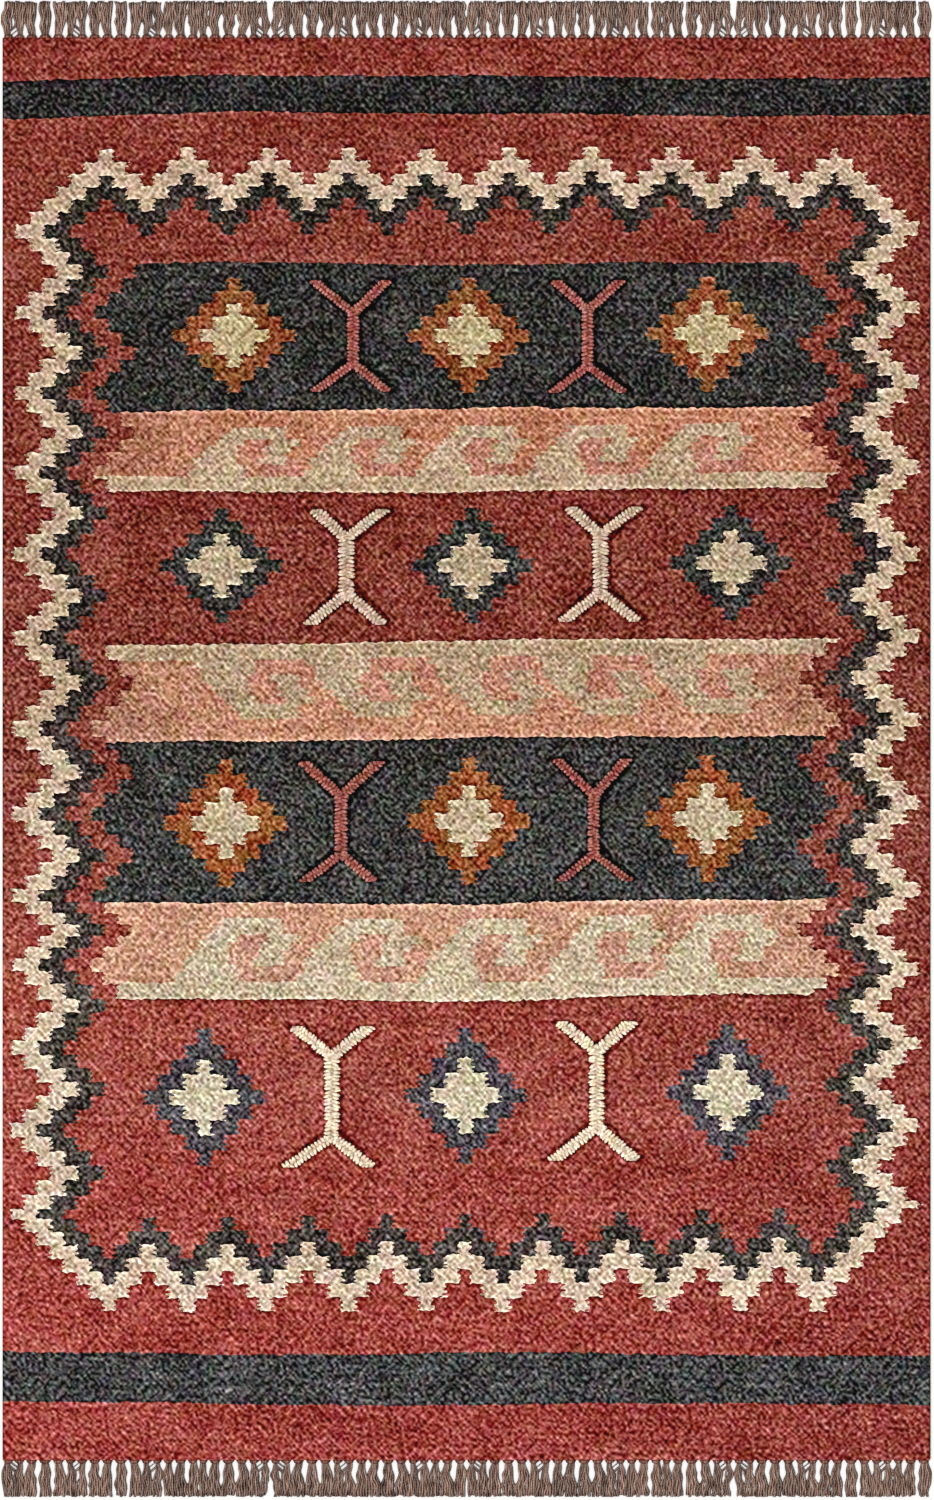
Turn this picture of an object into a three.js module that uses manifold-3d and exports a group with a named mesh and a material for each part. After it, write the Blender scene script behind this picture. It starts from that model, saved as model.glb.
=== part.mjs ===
// A flat-woven kilim rug of dyed, hand-spun yarn, with its warp ends left as a fringe at both ends.
//
// Units are millimetres. The origin is on the floor under the middle of the rug. +X runs across the
// rug, +Y along it to its far end, and +Z is up.
//
// The cloth is one slab with rounded edges. Its colours are changes of weft in that one cloth, so they
// aren't separate pieces. Only the forked figures stand proud of it, because their yarn is wrapped
// over the warps on top of the weave. Each fringe is a row of locks, fused at the root to a strip.

import * as THREE from 'three';
import { mergeVertices } from 'three/addons/utils/BufferGeometryUtils.js';
import Module from 'manifold-3d';

const RUG_WIDTH = 1524;        // five feet
const CLOTH_LENGTH = 2336;     // the woven part, without the fringes
const CLOTH_THICKNESS = 5;
const CLOTH_EDGE = 1.6;        // rounding along every edge of the cloth
const CLEARANCE = 0.3;         // between the cloth's edge and a fringe's strip

const FRINGE_LENGTH = 61;      // from the cloth's edge to the cut tips
const STRIP_DEPTH = 3.4;       // how far the fused roots stand out from the cloth
const STRIP_HEIGHT = 4.6;
const LOCK_CROWN = 0.74;       // a lock's top is narrower than its underside by this ratio
const LOCK_GAP = 1.2;          // the least gap between neighbouring locks
const TIP_SHIFT = 2.4;         // how unevenly the tips are cut

// The gaps between a fringe's locks, tallied from the left selvedge with the letters of the table below.
const GAP_TALLY = 'z.FF.sl.FF.sv.Lc.LL.sVz.LL.sL.LL.sw.Lvz.LL.sL.LL.sw.Fc.FL.sVz.LL.sL.FF.sw.F';

// What each kind of gap takes from the row: its reach is the way from the gap's middle to the middle of the
// lock beside it, before the row is brought to the rug's width, and tips is how wide it is at the tips.
const GAP_KINDS = {
  '.': { reach: 9.7, tips: 1.2 },   // a short gap at the roots
  s: { reach: 8.6, tips: 1.2 },     // strands cross it, leaning like the middle of an S
  z: { reach: 8.6, tips: 1.2 },     // strands cross it, leaning like the middle of a Z
  c: { reach: 7.1, tips: 1.2 },     // strands all but close it
  w: { reach: 9.2, tips: 1.2 },     // wide and short
  v: { reach: 9.2, tips: 6 },       // wide and short, and open again at the tips
  V: { reach: 9.2, tips: 13 },      // the same, with its tips far apart
  L: { reach: 11.5, tips: 1.2 },    // long
  l: { reach: 11.5, tips: 6 },      // long, and open again at the tips
  F: { reach: 11.5, tips: 5 },      // open all the way
};
const SELVEDGE_REACH = 10.1;   // from the selvedge to the middle of the first lock
const LOCKS = GAP_TALLY.length + 1;

// A lock from its foot to its cut tip. Out is the distance from the cloth's edge, and fill the share of
// the lock's own half width that its side reaches.
const LOCK_SECTIONS = [
  { out: STRIP_DEPTH, fill: 0.9, height: 4.8 },
  { out: 8, fill: 0.56, height: 4.8 },
  { out: 22, fill: 0.84, height: 4.4 },
  { out: 38, fill: 0.93, height: 4.0 },
  { out: FRINGE_LENGTH, fill: 1.0, height: 3.2 },
];

const FIGURE_RISE = 1.5;       // how far the wrapped yarn stands above the weave
const FIGURE_SUNK = 1.0;       // how deep its solid runs into the cloth
const FIGURE_EDGE = 0.7;       // rounding along the wrapped yarn

const FORK_TO_ELBOW = 21;      // from the notch between two arms to where their outer sides meet the bar

// The eight forked figures, each an upright bar that forks at both ends. X is the bar's middle line, top
// and bottom are where the arms are cut off level. The four reaches run sideways from the bar's middle
// line to the arms' outer corners, and the forks are the depths of the upper and the lower notch.
const FIGURES = [
  { x: -186, top: 770, bottom: 587, upLeft: 79, upRight: 68, lowLeft: 76, lowRight: 70,
    upFork: 42, lowFork: 35, bar: 21, arm: 25 },
  { x: 199, top: 770, bottom: 585, upLeft: 67, upRight: 67, lowLeft: 70, lowRight: 73,
    upFork: 37, lowFork: 33, bar: 21, arm: 25 },
  { x: -197, top: 394, bottom: 204, upLeft: 68, upRight: 78, lowLeft: 78, lowRight: 75,
    upFork: 35, lowFork: 39, bar: 29, arm: 30 },
  { x: 220, top: 398, bottom: 209, upLeft: 66, upRight: 77, lowLeft: 77, lowRight: 76,
    upFork: 33, lowFork: 36, bar: 28, arm: 30 },
  { x: -206, top: -20, bottom: -218, upLeft: 77, upRight: 77, lowLeft: 75, lowRight: 67,
    upFork: 45, lowFork: 34, bar: 23, arm: 27 },
  { x: 209, top: -16, bottom: -217, upLeft: 73, upRight: 66, lowLeft: 65, lowRight: 71,
    upFork: 48, lowFork: 33, bar: 21, arm: 23 },
  { x: -221, top: -455, bottom: -687, upLeft: 78, upRight: 78, lowLeft: 90, lowRight: 80,
    upFork: 38, lowFork: 38, bar: 27, arm: 33 },
  { x: 214, top: -447, bottom: -676, upLeft: 77, upRight: 74, lowLeft: 88, lowRight: 80,
    upFork: 37, lowFork: 43, bar: 27, arm: 33 },
];

const wool = new THREE.MeshStandardMaterial({ color: 0x9a453c, roughness: 0.95, metalness: 0 });
const warpCord = new THREE.MeshStandardMaterial({ color: 0x7d675c, roughness: 0.95, metalness: 0 });

const wasm = await Module();
wasm.setup();

// A closed three.js geometry as a solid that can be joined to another.
function solidOf(geometry) {
  geometry.deleteAttribute('normal');
  geometry.deleteAttribute('uv');
  const merged = mergeVertices(geometry, 1e-4);
  return new wasm.Manifold(new wasm.Mesh({
    numProp: 3,
    vertProperties: new Float32Array(merged.attributes.position.array),
    triVerts: new Uint32Array(merged.index.array),
  }));
}

// The joined solid as a named mesh.
function pieceOf(name, solid, material) {
  const { vertProperties, triVerts } = solid.getMesh();
  const geometry = new THREE.BufferGeometry();
  geometry.setAttribute('position', new THREE.BufferAttribute(vertProperties, 3));
  geometry.setIndex(new THREE.BufferAttribute(triVerts, 1));
  geometry.computeVertexNormals();
  const mesh = new THREE.Mesh(geometry, material);
  mesh.name = name;
  return mesh;
}

// An outline of [x, y] corners.
function shapeOf(corners) {
  return new THREE.Shape(corners.map(([x, y]) => new THREE.Vector2(x, y)));
}

// A repeatable number from -0.5 to 0.5 for the item of a row, spread evenly over the row.
function uneven(item, row) {
  const turns = item * 0.618034 + row * 0.414214;
  return turns - Math.floor(turns) - 0.5;
}

// The cloth: a slab that is as wide and as long as its rounded edge reaches.
function clothSlab() {
  const x = RUG_WIDTH / 2 - CLOTH_EDGE;
  const y = CLOTH_LENGTH / 2 - CLOTH_EDGE;
  const outline = shapeOf([[-x, -y], [x, -y], [x, y], [-x, y]]);
  const slab = new THREE.ExtrudeGeometry(outline, {
    depth: CLOTH_THICKNESS - 2 * CLOTH_EDGE,
    bevelThickness: CLOTH_EDGE,
    bevelSize: CLOTH_EDGE,
    bevelSegments: 3,
  });
  return slab.translate(0, 0, CLOTH_EDGE);
}

// A figure's outline, once round from the notch between its upper arms.
function figureOutline(figure) {
  const { x, top, bottom, upLeft, upRight, lowLeft, lowRight, upFork, lowFork, bar, arm } = figure;
  const upElbow = top - upFork - FORK_TO_ELBOW;
  const lowElbow = bottom + lowFork + FORK_TO_ELBOW;
  return [
    [x, top - upFork],
    [x + upRight - arm, top],
    [x + upRight, top],
    [x + bar / 2, upElbow],
    [x + bar / 2, lowElbow],
    [x + lowRight, bottom],
    [x + lowRight - arm, bottom],
    [x, bottom + lowFork],
    [x - lowLeft + arm, bottom],
    [x - lowLeft, bottom],
    [x - bar / 2, lowElbow],
    [x - bar / 2, upElbow],
    [x - upLeft, top],
    [x - upLeft + arm, top],
  ];
}

// A figure's wrapped yarn, from inside the cloth to above its face.
function forkedFigure(figure) {
  const ridge = new THREE.ExtrudeGeometry(shapeOf(figureOutline(figure)), {
    depth: FIGURE_SUNK + FIGURE_RISE - FIGURE_EDGE,
    bevelThickness: FIGURE_EDGE,
    bevelSize: FIGURE_EDGE,
    bevelOffset: -FIGURE_EDGE,
    bevelSegments: 2,
  });
  return ridge.translate(0, 0, CLOTH_THICKNESS - FIGURE_SUNK);
}

function wovenField() {
  const figures = FIGURES.map((figure) => solidOf(forkedFigure(figure)));
  return figures.reduce((cloth, figure) => cloth.add(figure), solidOf(clothSlab()));
}

// The lines between the locks, from the left selvedge to the right one.
function lockBounds() {
  const inner = [...GAP_TALLY].map((kind) => GAP_KINDS[kind].reach);
  const reaches = [SELVEDGE_REACH, ...inner, SELVEDGE_REACH];
  const bounds = [0];
  for (let i = 0; i < LOCKS; i += 1) {
    bounds.push(bounds[i] + reaches[i] + reaches[i + 1]);
  }
  return bounds.map((bound) => RUG_WIDTH * (bound / bounds[LOCKS] - 0.5));
}

// How wide the gap at a line is, a share of the way from the roots to the tips.
function lockGap(count, share) {
  const kind = GAP_KINDS[GAP_TALLY[count - 1]];
  const tips = kind ? kind.tips : LOCK_GAP;
  return LOCK_GAP + (tips - LOCK_GAP) * share;
}

// A lock's left side, right side and height at each of its sections.
function lockSections(count, bounds) {
  const middle = (bounds[count] + bounds[count + 1]) / 2;
  return LOCK_SECTIONS.map(({ out, fill, height }) => {
    const share = out / FRINGE_LENGTH;
    const left = bounds[count] + lockGap(count, share) / 2;
    const right = bounds[count + 1] - lockGap(count + 1, share) / 2;
    const cutShort = share === 1 ? TIP_SHIFT * (0.5 - uneven(count, 2)) : 0;
    return {
      out: out - cutShort,
      left: middle + fill * (left - middle),
      right: middle + fill * (right - middle),
      height,
    };
  });
}

// A whole fringe of one end, 1 for the far end and -1 for the near one: a comb whose back is the strip
// of fused roots. Each lock has four sides, flat on the floor and narrower on top.
function fringe(end) {
  const half = RUG_WIDTH / 2;
  const bounds = lockBounds();
  const locks = Array.from({ length: LOCKS }, (_, count) => lockSections(count, bounds));
  const corners = [
    [half, end * STRIP_DEPTH],
    [half, end * CLEARANCE],
    [-half, end * CLEARANCE],
    [-half, end * STRIP_DEPTH],
    ...locks.flatMap((sections) => [
      ...sections.map(({ left, out }) => [left, end * out]),
      ...sections.map(({ right, out }) => [right, end * out]).reverse(),
    ]),
  ];
  const comb = new THREE.ExtrudeGeometry(shapeOf(corners), { depth: STRIP_HEIGHT, bevelEnabled: false });

  const tops = locks.flat();
  const { position } = comb.attributes;
  for (let i = 0; i < position.count; i += 1) {
    const x = position.getX(i);
    const out = end * position.getY(i);
    const near = (side) => Math.abs(side - x) < 0.01;
    const top = tops.find((one) => Math.abs(one.out - out) < 0.01 && (near(one.left) || near(one.right)));
    if (position.getZ(i) > 0 && top) {
      const middle = (top.left + top.right) / 2;
      position.setX(i, middle + LOCK_CROWN * (x - middle));
      position.setZ(i, top.height);
    }
  }
  return comb;
}

const rug = new THREE.Group();
rug.add(pieceOf('woven_field', wovenField(), wool));

const farFringe = pieceOf('fringe_far', solidOf(fringe(1)), warpCord);
farFringe.position.y = CLOTH_LENGTH / 2;
rug.add(farFringe);

const nearFringe = pieceOf('fringe_near', solidOf(fringe(-1)), warpCord);
nearFringe.position.y = -CLOTH_LENGTH / 2;
rug.add(nearFringe);

export default rug;
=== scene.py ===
# %% [markdown]
# # A flat-woven kilim rug
#
# A kilim is a rug without pile. Its weft is packed down so hard that the warps are hidden, and every
# change of colour is a change of weft. This lesson dresses the plain slab of such a rug: the cloth with its
# charted pattern, the forked figures that are wrapped over the weave, and the fringe of warp ends.
#
# The slab already has the right size and place, so each new piece is worked out from its box.

# %% Load the frame
import math
from functools import partial

import bmesh
import bpy
import numpy as np
from mathutils import Matrix, Vector, noise


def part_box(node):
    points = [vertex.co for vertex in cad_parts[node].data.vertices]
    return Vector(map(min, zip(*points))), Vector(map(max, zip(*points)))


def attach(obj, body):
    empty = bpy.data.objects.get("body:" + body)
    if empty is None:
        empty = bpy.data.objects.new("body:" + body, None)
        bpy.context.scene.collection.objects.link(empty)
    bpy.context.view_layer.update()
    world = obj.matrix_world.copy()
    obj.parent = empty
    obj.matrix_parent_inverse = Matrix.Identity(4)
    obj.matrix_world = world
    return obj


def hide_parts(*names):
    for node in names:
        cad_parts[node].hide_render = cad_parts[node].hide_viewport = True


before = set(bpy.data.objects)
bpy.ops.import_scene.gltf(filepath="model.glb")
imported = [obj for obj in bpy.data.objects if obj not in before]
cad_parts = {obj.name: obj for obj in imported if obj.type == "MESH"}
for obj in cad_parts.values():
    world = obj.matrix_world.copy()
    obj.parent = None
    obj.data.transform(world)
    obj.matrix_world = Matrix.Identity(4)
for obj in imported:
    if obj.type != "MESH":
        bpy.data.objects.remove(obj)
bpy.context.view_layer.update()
MM = 0.001

cloth_low, cloth_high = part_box("woven_field")
RUG_WIDTH = (cloth_high.x - cloth_low.x) / MM
CLOTH_LENGTH = (cloth_high.y - cloth_low.y) / MM
print(f"the cloth is {RUG_WIDTH:.0f} by {CLOTH_LENGTH:.0f} mm")

# %% [markdown]
# ## Small tools
#
# A few helpers serve every step. One turns a colour as it is written on a screen into the linear light that
# a renderer counts in. Two start a material and add a shader node with its settings and links. The last
# makes an object of a finished mesh. It leaves the object at the origin, with its place in its mesh.

# %% Colours, nodes and pieces
def linear(hex_colour):
    """A colour like #8c4137 as linear red, green, blue and alpha."""
    channels = [int(hex_colour[start:start + 2], 16) / 255 for start in (1, 3, 5)]
    return [c / 12.92 if c <= 0.04045 else ((c + 0.055) / 1.055) ** 2.4 for c in channels] + [1.0]


def add_node(material, kind, inputs=(), **settings):
    """Adds a node and gives its outputs.

    kind is the node's name without ShaderNode, and for a sum also the operation, after a dot. An input is a
    plain value, an output of another node to link, or all outputs of one, of which the first is linked.
    """
    kind, _, operation = kind.partition(".")
    node = material.node_tree.nodes.new("ShaderNode" + kind)
    if operation:
        node.operation = operation
    for name, value in settings.items():
        setattr(node, name, value)
    for name, value in inputs.items() if isinstance(inputs, dict) else enumerate(inputs):
        if isinstance(value, bpy.types.bpy_prop_collection):
            value = value[0]
        if isinstance(value, bpy.types.NodeSocket):
            material.node_tree.links.new(value, node.inputs[name])
        else:
            node.inputs[name].default_value = value
    return node.outputs


def new_material(name):
    """An empty material, and the function that adds a node to it."""
    material = bpy.data.materials.new(name)
    material.use_nodes = True
    material.node_tree.nodes.clear()
    return material, partial(add_node, material)


def finished(name, mesh_or_bmesh, materials):
    """Makes a piece that sits at the origin and rides on the rug's one body."""
    if isinstance(mesh_or_bmesh, bmesh.types.BMesh):
        mesh = bpy.data.meshes.new(name)
        mesh_or_bmesh.to_mesh(mesh)
        mesh_or_bmesh.free()
    else:
        mesh = mesh_or_bmesh
    piece = bpy.data.objects.new(name, mesh)
    bpy.context.scene.collection.objects.link(piece)
    for material in materials:
        mesh.materials.append(material)
    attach(piece, "root")
    triangles = sum(len(face.vertices) - 2 for face in mesh.polygons)
    print(f"{name}: {triangles} triangles")
    return piece


# %% [markdown]
# ## Camera, light and floor
#
# The rug was photographed from straight above, so the camera looks straight down through a long lens, and
# its frame is as wide as the photograph's. A soft key light from the lower left lets the weave's ribs and
# the wrapped figures throw their small shadows. The rest is even light from all round, as in a white studio.

# %% Camera
PHOTO_HEIGHT = 1500            # pixels
MM_PER_PIXEL = 1.6435          # the cloth's real width over its width in pixels
PHOTO_MIDDLE = (1.0, -1.6)     # the point of the rug under the photograph's middle, in mm
LENS = 100                     # mm, on a sensor whose long side is 36 mm
SENSOR = 36

camera_data = bpy.data.cameras.new("Camera")
camera_data.lens = LENS
camera_data.sensor_width = SENSOR
camera = bpy.data.objects.new("Camera", camera_data)
half_height = PHOTO_HEIGHT / 2 * MM_PER_PIXEL * MM
camera.location = (PHOTO_MIDDLE[0] * MM, PHOTO_MIDDLE[1] * MM, half_height * 2 * LENS / SENSOR)
bpy.context.scene.collection.objects.link(camera)
bpy.context.scene.camera = camera
bpy.context.scene.view_settings.view_transform = "Standard"
print(f"the camera hangs {camera.location.z:.2f} m above the floor")

# %% Light and floor
SKY_STRENGTH = 0.47
KEY_STRENGTH = 2.3
KEY_DIRECTION = (1.5, 1.3, -3.2)
KEY_WIDTH = math.radians(20)   # as seen from the rug: a wide lamp throws soft shadows
FLOOR_REACH = 60               # m each way, so that its corners lie outside every side view
FLOOR_GAP = 0.2                # mm between the floor and the rug

world = bpy.data.worlds.new("Studio")
bpy.context.scene.world = world
world.use_nodes = True
world.node_tree.nodes["Background"].inputs["Color"].default_value = linear("#fdfcfa")
world.node_tree.nodes["Background"].inputs["Strength"].default_value = SKY_STRENGTH

# A sun lamp lights both ends of a long rug alike.
key_data = bpy.data.lights.new("Key", "SUN")
key_data.energy = KEY_STRENGTH
key_data.angle = KEY_WIDTH
key = bpy.data.objects.new("Key", key_data)
key.rotation_mode = "QUATERNION"
key.rotation_quaternion = Vector(KEY_DIRECTION).to_track_quat("-Z", "Y")
bpy.context.scene.collection.objects.link(key)

floor_bm = bmesh.new()
bmesh.ops.create_grid(floor_bm, x_segments=1, y_segments=1, size=FLOOR_REACH)
floor_mesh = bpy.data.meshes.new("floor")
floor_bm.to_mesh(floor_mesh)
floor_bm.free()
floor = bpy.data.objects.new("floor", floor_mesh)
floor.location.z = -FLOOR_GAP * MM
bpy.context.scene.collection.objects.link(floor)
# Painted studio floor: matt, so it only catches the rug's soft shadow.
floor_paint, node = new_material("matt_white_floor_paint")
node("OutputMaterial", {
    "Surface": node("BsdfPrincipled", {"Base Color": linear("#fbfaf9"), "Roughness": 0.9}),
})
floor_mesh.materials.append(floor_paint)

# %% [markdown]
# ## The weaver's chart
#
# A weaver works from a chart and counts it in cells. Here a cell is four warps wide and as many picks
# high. All places on the chart are in millimetres from the cloth's far left corner: `across` runs to the
# right and `down` towards the near end.
#
# The yarns come first. Wool dyed in small lots changes its shade from band to band, so each band has its
# own lot of each colour.

# %% The yarns and their colours
# Each yarn has its lots in their order down the cloth: where a lot is woven, in mm, and its colour.
YARNS = {
    "madder": [(0, "#853429"), (330, "#853b2e"), (700, "#833c2f"), (760, "#80342a"), (860, "#833b2e"),
               (970, "#80372b"), (1080, "#7e382b"), (1250, "#884236"), (1460, "#96493e"), (1600, "#964338"),
               (1740, "#9e4d43"), (1884, "#993f37"), (1960, "#9c463d"), (2120, "#9b4038"), (2290, "#983e37")],
    "frame ivory": [(250, "#c1a78e"), (640, "#bda48a"), (1040, "#bda58a"), (1300, "#c6af97"),
                    (1560, "#d5bea5"), (1700, "#cfbba4"), (2000, "#d1baa3")],
    "frame charcoal": [(200, "#362e28"), (900, "#372d2a"), (1200, "#403632"), (1560, "#49423c"),
                       (2000, "#453d3a")],
    "far stripe charcoal": [(0, "#292626")],
    "near stripe charcoal": [(0, "#403f40")],
    "charcoal A": [(0, "#312f2d")],
    "charcoal E": [(1160, "#363331"), (1260, "#3c3a38"), (1400, "#3e3d3c")],
    "peach B": [(0, "#b77a5e")],
    "peach D": [(0, "#be866b")],
    "peach F": [(0, "#c7957b")],
    "rose B": [(0, "#b67b67")],
    "rose D": [(0, "#ba816b")],
    "rose F": [(0, "#c3927b")],
    "ivory B": [(0, "#b79d80")],
    "ivory D": [(0, "#b3997c")],
    "ivory F": [(0, "#c6b498")],
    "orange": [(490, "#894a26"), (1290, "#935027")],
    "violet": [(0, "#4d474d")],
    "diamond charcoal": [(0, "#383634")],
    "diamond ivory A": [(0, "#b5a27b")],
    "diamond ivory C": [(0, "#b4a184")],
    "diamond ivory E": [(0, "#beab8c")],
    "diamond ivory G": [(0, "#cdc0a5")],
    "figure red": [(0, "#8a3e35")],
    "figure ivory": [(900, "#bca189"), (1600, "#d9c4a8")],
}
YARN_NUMBER = {name: number for number, name in enumerate(YARNS)}
# How light a band's yarn is, from the left selvedge to the right one: each hank took the dye differently.
HANKS = {
    "peach B": (0.62, 1.0, 1.02, 1.06, 1.08),
    "peach D": (0.58, 0.98, 1.05, 1.0, 0.6),
    "peach F": (1.03, 1.0, 0.99, 0.93, 0.95),
}

# %% [markdown]
# ### The zigzag frame
#
# The frame is a zigzag of three steps out and three steps in. Its outer two cells are ivory, the next two
# charcoal, and the two after that red. A hand weaver's rows are never all one height, so the points of the
# zigzag lie where they were beaten down, and the steps between two points share the way evenly.
#
# At a corner the last slope runs on, six or seven steps long, until it meets the slope of the other side.
# How deep a place lies inside the frame is then simply the smallest of its depths from the four sides.

# %% The frame's points and steps
FRAME_CELL = 21.6              # mm, the width of a cell
FRAME_STEPS = 3                # in one slope of the zigzag
FRAME_LEFT = (25, 12)          # mm from the left selvedge to the frame, at the far and the near end
FRAME_RIGHT = 21               # mm from the right selvedge
FRAME_FAR = (183, 179)         # the level of its far edge, at the left and the right selvedge
FRAME_NEAR = (2091, 2091)
FAR_ROW = (20.6, 19.7)         # the height of a row of cells, at the left and the right selvedge
NEAR_ROW = (21.4, 24.4)
LEFT_POINTS = [318, 451, 583, 714, 848, 984, 1135, 1275, 1410, 1521, 1659, 1794, 1936]
RIGHT_POINTS = [313, 443, 563, 705, 848, 982, 1119, 1255, 1400, 1530, 1651, 1786, 1921]
FAR_POINTS = [170, 305, 438, 568, 697, 832, 967, 1100, 1233, 1373]
NEAR_POINTS = [175, 305, 434, 568, 696, 822, 952, 1084, 1213, 1338]
SIDE_CORNERS = (190, 2082)     # where a side's first and last slopes end
FAR_CORNERS = (34, 1494)
NEAR_CORNERS = (23, 1485)
FAR_CORNER_STEPS = 6
NEAR_CORNER_STEPS = 7


def zigzag_level(place, points, corners, corner_steps):
    """How many steps in the zigzag lies at each place along a side."""
    period = 2 * FRAME_STEPS
    last = period * (len(points) - 1)
    counts = [-corner_steps[0]] + [period * i for i in range(len(points))] + [last + corner_steps[1]]
    count = np.rint(np.interp(place, [corners[0]] + points + [corners[1]], counts))
    step = np.mod(count, period)
    level = np.minimum(step, period - step)
    return np.where(count < 0, -count, np.where(count > last, count - last, level))


BROAD_WANDER = (0.9, 97)       # mm: how far a beaten line strays, and over what length
FINE_WANDER = (0.6, 38)


def beaten_line(across, levels):
    """A line from selvedge to selvedge. It passes through levels that share the width evenly."""
    broad = BROAD_WANDER[0] * np.sin(across / BROAD_WANDER[1] + levels[0])
    fine = FINE_WANDER[0] * np.sin(across / FINE_WANDER[1] + levels[-1])
    return np.interp(across, np.linspace(0, RUG_WIDTH, len(levels)), levels) + (broad + fine)


def frame_depth(across, down):
    """How many cells inside the frame's outer steps each place lies, from the sides and from the ends."""
    side_steps = (FAR_CORNER_STEPS, NEAR_CORNER_STEPS)
    left_edge = FRAME_LEFT[0] + (FRAME_LEFT[1] - FRAME_LEFT[0]) * down / CLOTH_LENGTH
    from_left = np.floor((across - left_edge) / FRAME_CELL)
    from_left -= zigzag_level(down, LEFT_POINTS, SIDE_CORNERS, side_steps)
    from_right = np.floor((RUG_WIDTH - FRAME_RIGHT - across) / FRAME_CELL)
    from_right -= zigzag_level(down, RIGHT_POINTS, SIDE_CORNERS, side_steps)

    far_row = FAR_ROW[0] + (FAR_ROW[1] - FAR_ROW[0]) * across / RUG_WIDTH
    from_far = np.floor((down - beaten_line(across, FRAME_FAR)) / far_row)
    from_far -= zigzag_level(across, FAR_POINTS, FAR_CORNERS, (FAR_CORNER_STEPS,) * 2)
    near_row = NEAR_ROW[0] + (NEAR_ROW[1] - NEAR_ROW[0]) * across / RUG_WIDTH
    from_near = np.floor((beaten_line(across, FRAME_NEAR) - down) / near_row)
    from_near -= zigzag_level(across, NEAR_POINTS, NEAR_CORNERS, (NEAR_CORNER_STEPS,) * 2)
    return np.minimum(from_left, from_right), np.minimum(from_far, from_near)


# %% [markdown]
# ### Bands, diamonds and waves
#
# The field is a stack of bands, each from the frame's left side to its right side. Each row of diamonds is
# nine cells high, and has smaller diamonds in it. A wave is charted below in half cells, with `#`
# for the ivory yarn and `o` for the rosier peach that fills its curl. It stands on the ivory line of its
# band, or hangs from it.

# %% Bands
# Each band starts at five levels, which share the width evenly. It runs on until the next one starts.
FIELD_BANDS = [
    {"yarn": "charcoal A", "starts": (371, 369, 372, 369, 367)},
    {"yarn": "peach B", "starts": (618, 612, 609, 607, 605)},
    {"yarn": "ivory B", "starts": (720, 720, 720, 714, 713)},
    {"yarn": "madder", "starts": (743, 746, 746, 739, 738)},
    {"yarn": "ivory D", "starts": (1001, 996, 990, 987, 987)},
    {"yarn": "peach D", "starts": (1027, 1022, 1016, 1012, 1011)},
    {"yarn": "charcoal E", "starts": (1158, 1155, 1150, 1147, 1146)},
    {"yarn": "peach F", "starts": (1421, 1421, 1423, 1415, 1413)},
    {"yarn": "ivory F", "starts": (1552, 1550, 1551, 1544, 1542)},
    {"yarn": "madder", "starts": (1577, 1579, 1582, 1571, 1568)},
]
BAND_LEVELS = {band["yarn"]: band["starts"] for band in FIELD_BANDS}
STRIPES = [
    {"yarn": "far stripe charcoal", "top": (71, 61, 62, 66, 66), "bottom": (133, 122, 124, 128, 126)},
    {"yarn": "near stripe charcoal", "top": (2157, 2163, 2159, 2162, 2166),
     "bottom": (2239, 2244, 2246, 2241, 2247)},
]

# %% Diamonds
DIAMOND_CELL = 21.9            # mm, the width of a cell
DIAMOND_STEPS = 4              # from its middle cell to its points
INNER_STEPS = 2
DIAMOND_ROWS = [
    {"outer": "orange", "inner": "diamond ivory A", "row": 20.9, "at": [(380, 489), (765, 489), (1159, 486)]},
    {"outer": "diamond charcoal", "inner": "diamond ivory C", "row": 21.2,
     "at": [(359, 867), (771, 867), (1197, 862)]},
    {"outer": "orange", "inner": "diamond ivory E", "row": 23.0,
     "at": [(367, 1290), (766, 1286), (1158, 1282)]},
    {"outer": "violet", "inner": "diamond ivory G", "row": 24.8,
     "at": [(331, 1740), (760, 1737), (1190, 1732)]},
]

# %% Waves
WAVE_CHART = [
    "......########..",
    ".....#########..",
    "....####oooo####",
    "...####oooo####.",
    "..#####oooo###..",
    ".######ooo####oo",
    ".#######oooooooo",
    "########oooooooo",
]
WAVE_CREST = 6                 # the chart's column where a wave's crest begins
WAVES = [
    {"#": "ivory B", "o": "rose B", "line": BAND_LEVELS["ivory B"], "hangs": False,
     "column": 11.5, "row": 10.2, "crests": [374, 563, 748, 932, 1120]},
    {"#": "ivory D", "o": "rose D", "line": BAND_LEVELS["peach D"], "hangs": True,
     "column": 12.3, "row": 12.1, "crests": [390, 576, 775, 949, 1131]},
    {"#": "ivory F", "o": "rose F", "line": BAND_LEVELS["ivory F"], "hangs": False,
     "column": 12.6, "row": 13.0, "crests": [360, 559, 760, 964, 1149]},
]


def wave_cells(across, down, wave, mark):
    """True where a wave of the band has the yarn that this mark of the chart stands for."""
    marks = np.array([[cell == mark for cell in cells] for cells in reversed(WAVE_CHART)])
    rows, columns = marks.shape
    line = beaten_line(across, wave["line"])
    above = (down - line) if wave["hangs"] else (line - down)
    row = np.floor(above / wave["row"]).astype(int)
    marked = np.zeros(across.shape, bool)
    for crest in wave["crests"]:
        column = np.floor((across - crest) / wave["column"]).astype(int) + WAVE_CREST
        charted = (row >= 0) & (row < rows) & (column >= 0) & (column < columns)
        marked[charted] |= marks[row[charted], column[charted]]
    return marked


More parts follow.
